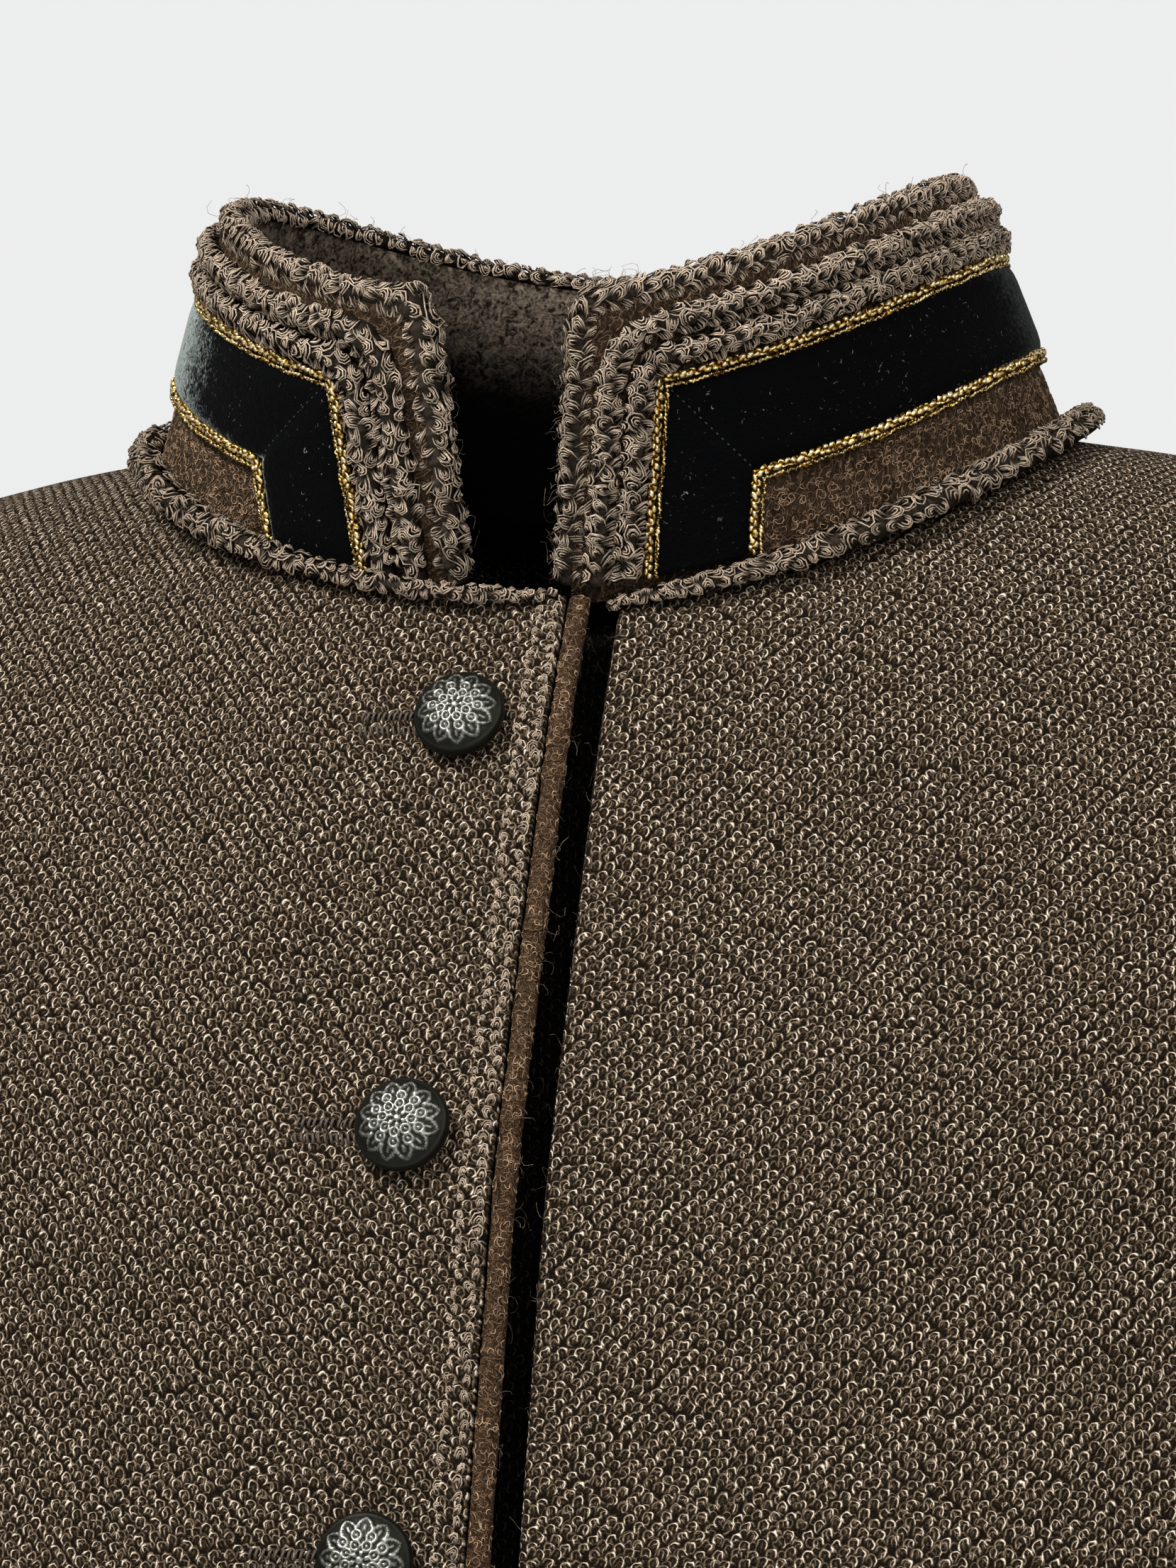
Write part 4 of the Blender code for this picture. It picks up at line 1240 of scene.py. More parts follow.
@dataclass
class KnitPanels:
    """The two fronts and the back: purl knit shells on the body's rings."""

    form: BodyForm
    finish: Material
    rows: tuple[int, int, int] = (24, 30, 52)
    side_columns: int = 46
    back_columns: int = 72
    front_flat: Pair = (0.275, 0.600)
    back_flat: Pair = (0.440, 0.620)
    front_area: float = 0.142
    back_area: float = 0.249

    def front_grid(self, side: int) -> Arrays:
        """Angles and rings of a front's grid, close together where its edge has relief.

        Args:
            side: 1 for the wearer's left and -1 for the right.

        Returns:
            Angles and rings, rows by columns.
        """
        form = self.form
        rows = form.rows(*self.rows)
        gap = form.seam / 2 / (form.sizes(rows)[2] - form.y_side)
        outer = math.pi / 2 - form.armhole_cut(rows, form.armhole_front) - gap
        if side > 0:
            places = [np.linspace(form.underlap_edge, -0.006, 7), np.arange(-0.0052, 0.0190, 0.0008)]
        else:
            near = np.concatenate([np.linspace(0.0, form.rib_width, 9), [0.0065, 0.0085, 0.0110, 0.0140]])
            places = [-form.lap_edge + near]
        steps = np.stack([form.edge_angle(x, rows) for x in np.concatenate(places)], axis=1)
        share = np.linspace(0.0, 1.0, self.side_columns)[1:]
        rest = steps[:, -1:] + (outer - steps[:, -1])[:, None] * share
        angle = np.concatenate([steps, rest], axis=1)
        return side * angle, np.repeat(rows[:, None], angle.shape[1], axis=1)

    def front(self, side: int) -> Surface:
        """One front, lapped at the centre and folded.

        Args:
            side: 1 for the wearer's left and -1 for the right.

        Returns:
            The front's wall.
        """
        form = self.form
        angle, ring = self.front_grid(side)
        measure = FlatPanel(form, -0.36, math.pi / 2).at(side * angle, ring)
        base, normal = form.point(angle, ring), form.normal(angle, ring)
        x = base[..., 0]
        raised = form.fold_height(base)
        if side > 0:
            outer = base + normal * (raised + form.groove_height(x))[..., None]
            inner = outer - normal * form.knit
            # painted shadow: the groove beside the piping fades to near black, and the underlap under the
            # right front is painted almost black
            shade = 1.0 - 0.97 * smoothstep(form.groove_share(x), 0.12, 0.62)
            shade = np.where(x < form.groove_x[0], 0.03, shade)
        else:
            share = np.clip((form.lap_edge - x) / form.rib_width, 0.0, 1.0)
            inner = base + normal * (raised + form.lap_height(x) - form.knit)[..., None]
            rise = form.rib_rise * np.sin(math.pi * share)
            outer = inner + normal * (form.knit + rise)[..., None]
            shade = np.ones(x.shape)
        return shell(outer, inner, measure, shade=shade)

    def back(self) -> Surface:
        """The back, from side seam to side seam.

        Returns:
            The back's wall.
        """
        form = self.form
        rows = form.rows(*self.rows)
        gap = form.seam / 2 / (form.sizes(rows)[2] - form.y_side)
        cut = form.armhole_cut(rows, form.armhole_back) + gap
        first, last = math.pi / 2 + cut, 3 * math.pi / 2 - cut
        angle = first[:, None] + (last - first)[:, None] * np.linspace(0.0, 1.0, self.back_columns)
        ring = np.repeat(rows[:, None], self.back_columns, axis=1)
        base, normal = form.point(angle, ring), form.normal(angle, ring)
        outer = base + normal * form.fold_height(base)[..., None]
        measure = FlatPanel(form, math.pi, math.pi / 2).at(math.pi - np.abs(angle - math.pi), ring)
        measure = measure * np.stack([np.sign(angle - math.pi), np.ones(angle.shape)], axis=-1)
        return shell(outer, outer - normal * form.knit, measure)

    def build(self) -> None:
        """Makes the three panels."""
        for name, side in (("knit_front_left", 1), ("knit_front_right", -1)):
            node = name.removeprefix("knit_")
            piece = make_piece(name, self.front(side), self.finish, Slot.KNIT, node)
        piece = make_piece("knit_back", self.back(), self.finish, Slot.KNIT, "back")


@dataclass
class Sleeves:
    """The two set-in sleeves, which leave the armhole along the body's cloth."""

    form: BodyForm
    finish: Material
    head_rows: int = 20
    arm_rows: int = 50
    columns: int = 72
    head_reach: Triple = (0.105, 0.070, 0.046)
    head_drop: Triple = (0.150, 0.110, 0.050)
    flat: Pair = (0.420, 0.620)
    area: float = 0.138

    # x, y, z, half_x, half_y of the left arm, from the upper arm to the cuff
    RINGS = np.array([
        (0.2330, 0.0050, -0.2500, 0.0420, 0.0600),
        (0.2400, 0.0040, -0.3150, 0.0410, 0.0570),
        (0.2470, -0.0010, -0.3850, 0.0410, 0.0530),
        (0.2540, -0.0120, -0.4600, 0.0370, 0.0460),
        (0.2600, -0.0250, -0.5320, 0.0330, 0.0400),
        (0.2650, -0.0360, -0.5980, 0.0300, 0.0355),
    ])

    def arm_ring(self, at: Any, turn: Array) -> Array:
        """An ellipse round the arm at a position counted in rings."""
        x, y, z, half_x, half_y = np.moveaxis(through(self.RINGS, np.asarray(at) + 0.0 * turn), -1, 0)
        return np.stack([x + half_x * np.cos(turn), y - half_y * np.sin(turn), z], axis=-1)

    def surface(self) -> Arrays:
        """The left sleeve's face: a Hermite blend from the armhole to the arm, and then its rings.

        Returns:
            The points and their normals, rings by points round.
        """
        form = self.form
        turn = np.linspace(0.0, TURN, self.columns + 1)[:-1]
        share = (1 - np.cos(turn)) / 2
        ring = form.TIP + (form.ARMPIT - form.TIP) * share
        widest = np.where(turn < math.pi, form.armhole_front, -form.armhole_back)
        angle = math.pi / 2 - widest * np.sqrt(4 * share * (1 - share))
        start, first = form.point(angle, ring), form.normal(angle, ring)
        along = unit(np.roll(start, -1, axis=0) - np.roll(start, 1, axis=0))
        leave = unit(np.cross(first, along))
        start = start + leave * form.seam
        end = self.arm_ring(0.0, turn)
        down = unit(self.arm_ring(0.05, turn) - end)
        leave = leave * side_wave(*self.head_reach, turn)[:, None]
        arrive = down * side_wave(*self.head_drop, turn)[:, None]
        share = np.linspace(0.0, 1.0, self.head_rows + 1)[:, None, None]
        head = hermite(share, start, leave, end, arrive)
        at = np.linspace(0.0, len(self.RINGS) - 1.0, self.arm_rows + 1)[1:, None]
        arm = self.arm_ring(at, np.broadcast_to(turn, (self.arm_rows, self.columns)))
        grid = np.concatenate([head, arm])
        around = np.roll(grid, -1, axis=1) - np.roll(grid, 1, axis=1)
        normal = unit(np.cross(around, np.gradient(grid, axis=0)))
        if np.einsum("ij,ij->", normal[0], first) < 0:
            normal = -normal
        normal[0] = first
        return grid, normal

    def build(self) -> None:
        """Makes both sleeves."""
        grid, normal = self.surface()
        for name, mirror in (("knit_sleeve_left", (1, 1, 1)), ("knit_sleeve_right", (-1, 1, 1))):
            base, out = grid * mirror, normal * mirror
            outer = base + out * self.form.fold_height(base)[..., None]
            measure = cloth_measure(np.concatenate([outer, outer[:, :1]], axis=1))
            measure[..., 0] -= measure[:, -1:, 0] / 2
            wall = shell(outer, outer - out * self.form.knit, measure, joined=True)
            piece = make_piece(name, wall, self.finish, Slot.KNIT, name.removeprefix("knit_"))


@dataclass
class StandCollar:
    """The felt stand, its knitted facing and the velvet band with its mitred corners."""

    form: StandForm
    felt: Material
    facing: Material
    velvet: Material
    thread: Material
    fibres: Material
    stand_felt: float = 0.0018
    stand_facing: float = 0.0013
    clear: float = 0.0003
    row_width: float = 0.0046
    tuck: float = 0.0016
    turned_in: float = 0.0042
    cord_width: float = 0.0024
    velvet_thick: float = 0.0012
    trim_lift: float = 0.0005
    bedding: float = 0.0001
    columns: int = 150
    levels: int = 13
    leg: int = 26
    round_neck: int = 150
    curls: int = 2300
    curl_middle: float = 0.0068
    curl_reach: float = 0.0066
    curl_turn: float = 0.86
    curl_seed: int = 51
    stand_flat: Pair = (0.440, 0.0450)
    velvet_flat: Pair = (0.430, 0.0400)
    velvet_area: float = 0.0071

    def stand_grid(self) -> Arrays:
        """Angles and heights of the stand inside the edge row of the trim.

        Returns:
            Both, rows by columns.
        """
        heights = np.linspace(0.0, self.form.height - self.row_width + self.tuck, self.levels)
        near = self.row_width - self.tuck
        angle = np.array([self.form.across(near, height, self.columns) for height in heights])
        return angle, np.repeat(heights[:, None], self.columns, axis=1)

    def build_stand(self) -> None:
        """Makes the felt stand and the facing behind it, whose painted shade leaves it light only near its
        top.
        """
        form = self.form
        angle, height = self.stand_grid()
        outer, normal = form.point(angle, height), form.normal(angle, height)
        measure = np.stack([running_length(outer, 1), height], axis=-1)
        stand = shell(outer, outer - normal * self.stand_felt, measure)
        stand.shade = np.ones(len(stand.points))
        piece = make_piece("felt_stand", stand, self.felt, Slot.FELT, "collar_stand")
        height = height - self.turned_in * (1 - smoothstep(height, 0.0, 0.012))
        outer, normal = form.point(angle, height), form.normal(angle, height)
        back = outer - normal * (self.stand_felt + 2 * self.clear)
        facing = shell(back - normal * self.stand_facing, back, measure)
        # painted shade: the facing is near black low down and lighter towards its top
        light = smoothstep(height, 0.021, 0.041) * (0.45 + 0.55 * smoothstep(height, 0.026, 0.044))
        facing.shade = np.tile((0.002 + 1.1 * light).ravel(), 2)
        piece = make_piece("knitted_facing", facing, self.facing, Slot.FACING, "collar_facing")

    def band_line(self, inset: float) -> Arrays:
        """Angles and heights of a line along the band, with a sharp mitred corner at each front.

        Args:
            inset: the line's distance from the outline.

        Returns:
            Angles and heights.
        """
        form = self.form
        top = form.height - inset
        heights = np.linspace(form.foot, top, self.leg)
        left, right = (form.from_edge(inset, heights, side) for side in (1, -1))
        return form.around(left, right, heights, top, self.round_neck)

    def build_velvet(self) -> None:
        """Makes the velvet band between the cords, dented at its mitres."""
        form = self.form
        near = OUTER_CORD + self.cord_width / 2 - self.clear
        far = INNER_CORD - self.cord_width / 2 + self.clear
        share = np.array([0.0, 0.04, 0.10, 0.20, 0.35, 0.50, 0.65, 0.80, 0.90, 0.96, 1.0])
        lines = [self.band_line(near + (far - near) * s) for s in share]
        angle, height = (np.array(values) for values in zip(*lines))
        normal = form.normal(angle, height)
        swell = np.minimum(1.0, 8 * share * (1 - share)) ** 0.5
        place = np.arange(angle.shape[1])
        corner = np.minimum(np.abs(place - (self.leg - 1)), np.abs(place - (len(place) - self.leg)))
        dent = 0.0004 * np.exp(-((corner / 1.6) ** 2))
        thick = self.velvet_thick * (0.35 + 0.75 * swell)[:, None] - dent[None, :]
        inner = form.point(angle, height) + normal * self.bedding
        outer = inner + normal * (thick + self.trim_lift - self.bedding)[..., None]
        wall = shell(outer, inner, cloth_measure(outer))
        piece = make_piece("velvet_band_cloth", wall, self.velvet, Slot.VELVET, "velvet_band")
        self.build_mitres(outer)

    def build_mitres(self, outer: Array) -> None:
        """Small thread stitches down each mitre, laid on the band's outer points.

        Args:
            outer: those points, lines by points.
        """
        paths = []
        for column in (self.leg - 1, outer.shape[1] - self.leg):
            line = outer[:, column]
            length = running_length(line)
            at = np.interp(np.linspace(0.06, 0.94, 15), length / length[-1], np.arange(len(line)))
            centre = through(line, at)
            way = unit(np.gradient(centre, axis=0))
            paths.append(centre[:, None] + way[:, None] * np.linspace(-0.00025, 0.00025, 4)[None, :, None])
        path = np.concatenate(paths)
        out = np.broadcast_to(unit(path.mean(axis=1, keepdims=True) * (1, 1, 0)), path.shape)
        stitches = tubes(path, out, np.array([0.00008, 0.00018, 0.00018, 0.00008]), 0.5)
        make_piece("mitre_stitches", stitches, self.thread, Slot.VELVET)

    def build_curls(self) -> None:
        """Makes the curled fibres on the stand's felt below the velvet."""
        form, count = self.form, 400
        height = np.full(count, self.curl_middle)
        angle = form.across(INNER_CORD + self.cord_width / 2, self.curl_middle, count)
        centre, normal = form.point(angle, height), form.normal(angle, height)
        reach = np.full(count, self.curl_reach)
        strip = Strip(centre, sideways(centre, normal), normal, reach, np.zeros(count))
        rng = np.random.default_rng(self.curl_seed)
        at = rng.uniform(0.0, running_length(centre)[-1], self.curls)
        turn = np.arcsin(rng.uniform(-self.curl_turn, self.curl_turn, self.curls))
        spin, scale = rng.uniform(0.0, ANY_WAY, self.curls), rng.uniform(0.7, 1.4, self.curls)
        surface = FELT_CURLS.surface(strip, at, turn, spin, scale, rng)
        make_piece("felt_fibres_stand", surface, self.fibres, Slot.FELT)

    def build(self) -> None:
        """Makes every piece of the collar's cloth."""
        self.build_stand()
        self.build_curls()
        self.build_velvet()


@dataclass(frozen=True)
class Strip:
    """A rounded strip along a line, on which yarn grows: a full roll, or one side of it."""

    centre: Array
    across: Array
    out: Array
    half: Array
    high: Array

    def place(self, along: Array, turn: Array, lift: Array) -> Arrays:
        """Points over the strip.

        A point is centre + (half + lift) * sin turn * across + (high + lift) * cos turn * out.

        Args:
            along: the length along the strip's line.
            turn: the angle round it, 0 outward.
            lift: the height over it.

        Returns:
            The points and the ways out of the strip there.
        """
        length = running_length(self.centre)
        half, high = (np.interp(along, length, values)[..., None] for values in (self.half, self.high))
        centre, across, out = (
            np.stack([np.interp(along, length, values[:, i]) for i in range(3)], axis=-1)
            for values in (self.centre, self.across, self.out)
        )
        side, up, lift = np.sin(turn)[..., None], np.cos(turn)[..., None], lift[..., None]
        point = centre + (half + lift) * side * across + (high + lift) * up * out
        return point, unit(side * across * high + up * out * half)

    def core(self, sides: int) -> Surface:
        """The core under the yarn, a little narrower than the strip, painted dark as the shade between the
        loops.
        """
        flat = float(np.mean(self.high / self.half))
        return tubes(self.centre[None], self.out[None], self.half[None] * 0.78, CORE_SHADE, sides, flat)


@dataclass(frozen=True)
class Loops:
    """Bundles of nested long loops of yarn, whose ends go down into what they grow on."""

    nested: int = 4
    size: float = 0.00190
    strand: float = 0.00015
    points: int = 6
    half_turn: float = 1.95
    rise: float = 0.00065
    sink: float = 0.00020
    uneven: float = 0.10
    narrow: Pair = (0.52, 0.85)

    def surface(
        self, strip: Strip, along: Array, turn: Array, spin: Array, scale: Array, rng: Chance
    ) -> Surface:
        """The bundles' strands.

        A loop's point at t lies at 1.25 * radius * (cos t - 0.25) towards the bundle's crest and
        radius * squash * sin t beside it. It stands up by rise, and its ends go down below the strip by sink.

        Args:
            strip: where they grow.
            along: each bundle's place along the strip.
            turn: each bundle's angle round it.
            spin: the way of each bundle's crest, 0 along the strip.
            scale: each bundle's size over the usual.
            rng: the source of chance.

        Returns:
            The strands as one surface.
        """
        count = len(along)
        shape = (count, self.nested, 1)
        share = ((np.arange(self.nested) + 0.9) / (self.nested - 0.1))[None, :, None]
        angle = np.linspace(-1.0, 1.0, self.points)[None, None, :]
        t = self.half_turn * angle * rng.uniform(0.85, 1.10, shape) + rng.normal(0.0, 0.16, shape)
        radius = self.size * scale[:, None, None] * share * (1 + rng.normal(0.0, self.uneven, shape))
        squash = rng.uniform(*self.narrow, (count, 1, 1))
        x, y = 1.25 * radius * (np.cos(t) - 0.25), radius * squash * np.sin(t)
        way, cross = np.cos(spin)[:, None, None], np.sin(spin)[:, None, None]
        level = self.rise * (1.25 - 0.60 * share + rng.normal(0.0, 0.15, shape))
        lift = level - (self.rise + self.sink) * angle**4
        half = np.interp(along, running_length(strip.centre), strip.half)[:, None, None]
        over = turn[:, None, None] + (x * cross + y * way) / (half + 0.0002)
        paths, outs = strip.place(along[:, None, None] + x * way - y * cross, over, lift)
        # painted shade darkens each loop towards its ends, where they go down into the strip; the rest varies
        # at random
        light = (1.0 - 0.78 * angle**4) * rng.uniform(0.58, 1.15, shape)
        flat = (-1, self.points)
        return tubes(paths.reshape(*flat, 3), outs.reshape(*flat, 3), self.strand, light.reshape(flat))


# Single short curls that lie close on felt
FELT_CURLS = Loops(
    nested=1, size=0.00085, strand=0.00010, points=5, half_turn=1.5, rise=0.00008, sink=0.00010
)


@dataclass(frozen=True)
class Bundles:
    """Rings of bundles of loops along a strip, with chance in where each stands and how it lies."""

    yarn: Loops
    pitch: float
    turns: Array
    starts: Array
    spare: float
    lean: Any
    sizes: Any
    stray: Triple
    uneven: Pair
    flips: float = 0.0
    thicker: float = 0.0
    core_sides: int = 8

    def surface(self, strip: Strip, length: Array, rng: Chance) -> Surface:
        """The bundles and the core under them, painted dark as the shade between them.

        Chance moves each bundle along, round and in its spin by the three numbers of stray. Flips is
        the share of bundles that point the other way, and thicker adds to the size by the strip's half.

        Args:
            strip: what they grow on.
            length: the length so far at each of its points.
            rng: the source of chance.

        Returns:
            All of it as one surface.
        """
        count = int(length[-1] / self.pitch)
        shape = (count, len(self.turns))
        noise = [rng.normal(0.0, width, shape) for width in self.stray]
        at = (np.arange(count)[:, None] + self.starts) * (length[-1] / (count + self.spare)) + noise[0]
        turn, spin = self.turns + noise[1], self.lean + noise[2]
        if self.flips:
            spin = spin + math.pi * (rng.random(shape) < self.flips)
        size = self.sizes + self.thicker * np.interp(at, length, strip.half)
        scale = size * rng.uniform(*self.uneven, shape)
        loops = self.yarn.surface(strip, *(values.ravel() for values in (at, turn, spin, scale)), rng)
        return loops.joined(strip.core(self.core_sides))


@dataclass
class CrochetTrim:
    """Three rows of crochet knobs, the outermost standing on the collar's own edge.

    Each row is a core painted dark as the shade between the loops, swelling at every knob and grown over with
    bundles of nested loops.
    """

    form: StandForm
    finish: Material
    row_width: float = 0.0046
    row_height: float = 0.0030
    knob: float = 0.0043
    swell: float = 0.13
    pitch: float = 0.00270
    lean: float = 0.75
    wall_middle: float = -0.00185
    seed: int = 11

    # name, solid, inset, corner, whether the row shows all round
    ROWS = (
        ("crochet_row_edge", "crochet_edge", 0.0023, 0.0035, True),
        ("crochet_row_middle", "crochet_middle", 0.0073, 0.0070, False),
        ("crochet_row_inner", "crochet_inner", 0.0122, 0.0050, False),
    )
    # where the bundles of a ring lie round a row, in degrees towards the outline
    WHOLE, HALF = (-40.0, 22.0, 84.0, 158.0), (-50.0, 0.0, 50.0)

    def strip(self, inset: float, corner: float, whole: bool) -> Strip:
        """The row's swelling core along its route.

        Args:
            inset: the row's distance from the outline.
            corner: its corners' radius.
            whole: whether it shows all round.

        Returns:
            The strip.
        """
        form = self.form
        count = round(form.length(inset, corner) / self.knob) * 6
        angle, height, wide = form.route(inset, corner, count)
        normal = form.normal(angle, height)
        centre = form.point(angle, height) + normal * (self.wall_middle if whole else 0.0004)
        across = sideways(centre, normal)
        across = across * np.sign(across[count // 2, 2])
        beat = 1.0 + self.swell * np.cos(np.arange(count) * math.pi / 3)
        half = self.row_width / 2 * 0.94 * wide * beat
        high = self.row_width / 2 * beat if whole else (self.row_height - 0.0006) * beat
        return Strip(centre, across, normal, half, high)

    def bundles(self, whole: bool) -> Bundles:
        """The bundles of a row, which lean by turns to both sides.

        Args:
            whole: whether the row shows all round.

        Returns:
            Their layout.
        """
        turns = np.radians(self.WHOLE if whole else self.HALF)
        odd = np.arange(len(turns)) % 2
        lean = np.where(odd, self.lean, -self.lean)
        stray, uneven = (0.00018, 0.10, 0.38), (0.86, 1.14)
        return Bundles(Loops(), self.pitch, turns, 0.5 + 0.5 * odd, 1.0, lean, 1.0, stray, uneven, flips=0.12)

    def build(self) -> None:
        """Makes the three rows, each from its own seed."""
        for number, (name, solid, inset, corner, whole) in enumerate(self.ROWS):
            rng = np.random.default_rng(self.seed + number)
            strip = self.strip(inset, corner, whole)
            row = self.bundles(whole).surface(strip, running_length(strip.centre), rng)
            make_piece(name, row, self.finish, Slot.CROCHET, solid)


@dataclass
class GoldCords:
    """The two gold cords: each a loose and a tight twisted pair laid side by side."""

    form: StandForm
    finish: Material
    lift: float = 0.0012
    step: float = 0.00040
    corner: float = 0.0004
    bead: float = 0.00155
    seed: int = 23

    # offset across, twist radius, strand radius, length of a turn
    PAIRS = ((-0.00050, 0.00044, 0.00047, 0.00280), (0.00084, 0.00024, 0.00030, 0.00130))
    ROWS = (("gold_cord_outer", "cord_outer", OUTER_CORD), ("gold_cord_inner", "cord_inner", INNER_CORD))

    def cord(self, inset: float, rng: Chance) -> Surface:
        """One cord: each strand turns round its pair's line as a helix.

        Args:
            inset: the cord's distance from the outline.
            rng: the source of chance.

        Returns:
            The cord.
        """
        form = self.form
        count = round(form.length(inset, self.corner) / self.step)
        angle, height, _ = form.route(inset, self.corner, count)
        normal = form.normal(angle, height)
        base = form.point(angle, height) + normal * self.lift
        across = sideways(base, normal)
        length = running_length(base)
        slow = np.interp(length, np.linspace(0, length[-1], 160), rng.normal(0.0, 1.0, 160))
        strands = []
        for offset, twist, radius, lay in self.PAIRS:
            turn = TURN * length / lay + 0.7 * slow
            for phase in (0.0, math.pi):
                out = np.cos(turn + phase)[:, None] * across + np.sin(turn + phase)[:, None] * normal
                path = base + across * (offset + 0.00008 * slow)[:, None] + out * twist
                # painted shade: each strand is darker where its helix turns under, towards the collar
                light = 0.30 + 0.75 * smoothstep(np.sin(turn + phase), -0.5, 0.9)
                size = radius * (1 + 0.24 * np.sin(TURN * length / self.bead + 2.5 * slow + 2 * phase))
                strands.append(tubes(path[None], out[None], size[None], light[None]))
        return strands[0].joined(*strands[1:])

    def build(self) -> None:
        """Makes both cords."""
        for number, (name, solid, inset) in enumerate(self.ROWS):
            surface = self.cord(inset, np.random.default_rng(self.seed + number))
            make_piece(name, surface, self.finish, Slot.GOLD, solid)


@dataclass
class NeckRoll:
    """The looped roll over the neckline seam."""

    body: BodyForm
    stand: StandForm
    finish: Material
    front: float = 0.0014
    side: float = 0.0027
    grows: Pair = (math.radians(16), math.radians(50))
    ends: Pair = (0.0141, 0.0070)
    ring: float = 0.25
    clear: float = 0.0003
    drop: float = 0.001
    count: int = 900
    pitch: float = 0.0024
    beat: float = 0.0034
    swell: float = 0.10
    taper: float = 0.035
    seed: int = 31

    def strip(self) -> Strip:
        """The roll's core, thick at the sides and thinning towards the centre front.

        Returns:
            The core's strip.
        """
        body, stand = self.body, self.stand
        left_end = float(body.edge_angle(self.ends[0], np.array(0.0)))
        right_end = TURN + float(body.edge_angle(self.ends[1], np.array(0.0)))
        angle = np.linspace(left_end, right_end, self.count)
        turned = np.where(angle > math.pi, TURN - angle, angle)
        radius = self.front + (self.side - self.front) * smoothstep(turned, *self.grows)
        length = np.minimum(np.arange(self.count), np.arange(self.count)[::-1]) / self.count
        radius = radius * (0.35 + 0.65 * smoothstep(length, 0.0, self.taper))
        cloth, wall = body.normal(angle, self.ring + 0 * angle), stand.normal(angle, 0 * angle)
        seam = body.point(angle, 0 * angle)
        x = seam[..., 0]
        lap = np.where(angle > math.pi, body.lap_height(x), body.groove_height(x))
        reach = (radius + 2 * self.clear) / (1 + (cloth * wall).sum(axis=-1))
        centre = seam + (cloth + wall) * reach[:, None]
        centre = centre + cloth * (np.maximum(lap, -self.drop) + self.clear)[:, None]
        along = unit(np.gradient(centre, axis=0))
        out = unit(cloth - along * (cloth * along).sum(axis=-1, keepdims=True))
        beat = 1 + self.swell * np.cos(running_length(centre) * TURN / self.beat)
        size = radius * 0.96 * beat
        return Strip(centre, np.cross(along, out), out, size, size)

    def build(self) -> None:
        """Makes the roll: three bundles of slanting loops to a ring, larger where it is thick."""
        strip = self.strip()
        turns, starts = np.radians((-66.0, -4.0, 58.0)), np.array([0.4, 0.9, 0.4])
        yarn = Loops(nested=3, strand=0.00017, rise=0.00050)
        stray, uneven, thicker = (0.00030, 0.12, 0.65), (0.82, 1.2), 0.40 / self.side
        bundles = Bundles(yarn, self.pitch, turns, starts, 0.6, 0.85, 0.55, stray, uneven, 0.3, thicker)
        roll = bundles.surface(strip, running_length(strip.centre), np.random.default_rng(self.seed))
        make_piece("neckline_roll", roll, self.finish, Slot.CROCHET, "neck_welt")


@dataclass
class FrontEdge:
    """The right front's edge: the raised chain of stitches and the felt piping beside it."""

    form: BodyForm
    yarn: Material
    felt: Material
    fibres: Material
    curls: int = 1100
    piping_radius: float = 0.0018
    piping_seed: int = 41
    bumps: int = 260
    clear: float = 0.0003
    count: int = 900
    chain_x: float = 0.0054
    chain_half: float = 0.0027
    chain_high: float = 0.0009
    chain_pitch: float = 0.0021
    chain_seed: int = 43

    def build_piping(self) -> None:
        """Makes the piping: a slightly uneven felt roll, from the neckline to the hem."""
        form = self.form
        ring = np.linspace(0.0, form.HEM, self.count)
        angle = form.edge_angle(form.lap_edge, ring)
        base, normal = form.point(angle, ring), form.normal(angle, ring)
        across = np.cross(normal, unit(np.gradient(base, axis=0)))
        across = across * np.sign(across[:, :1])
        raised = form.fold_height(base) + form.lap_height(base[..., 0]) - form.knit / 2
        centre = base + normal * raised[:, None] + across * (self.piping_radius + self.clear)
        length = running_length(centre)
        rng = np.random.default_rng(self.piping_seed)
        wave = np.interp(length, np.linspace(0, length[-1], self.bumps), rng.normal(0, 1, self.bumps))
        radius = self.piping_radius * (1.0 + 0.035 * wave)
        path = centre + normal * (0.00006 * wave)[:, None]
        piping = tubes(path[None], normal[None], radius[None], sides=12)
        make_piece("felt_piping", piping, self.felt, Slot.FELT, "front_piping")
        strip = Strip(path, across, normal, radius, radius)
        at = rng.uniform(0.0, length[-1], self.curls)
        turn, spin = rng.uniform(-1.5, 1.9, self.curls), rng.normal(0.0, 0.8, self.curls)
        spin = spin + math.pi * (rng.random(self.curls) < 0.5)
        surface = FELT_CURLS.surface(strip, at, turn, spin, rng.uniform(0.7, 1.5, self.curls), rng)
        make_piece("felt_fibres_piping", surface, self.fibres, Slot.FELT)

    def build_chain(self) -> None:
        """Makes the chain: two columns of bundles whose crests point up, along the rib."""
        form = self.form
        ring = np.linspace(0.02, form.HEM - 0.02, self.count)
        centre, normal = form.right_face(self.chain_x, ring)
        across = np.cross(unit(np.gradient(centre, axis=0)), normal)
        across = across * np.sign(across[:, :1])
        half, high = (np.full(self.count, value) for value in (self.chain_half, self.chain_high))
        strip = Strip(centre - normal * self.clear, across, normal, half, high)
        yarn = Loops(nested=3, strand=0.00015, rise=0.00040)
        turns, starts, sizes = np.array([[-0.50, 0.56], [0.3, 0.8], [0.54, 0.70]])
        stray, uneven = (0.00025, 0.07, 0.45), (0.85, 1.15)
        pitch = self.chain_pitch
        bundles = Bundles(yarn, pitch, turns, starts, 0.6, math.pi, sizes, stray, uneven, core_sides=6)
        chain = bundles.surface(strip, running_length(centre), np.random.default_rng(self.chain_seed))
        make_piece("edge_chain", chain, self.yarn, Slot.KNIT)

    def build(self) -> None:
        """Makes both."""
        self.build_piping()
        self.build_chain()


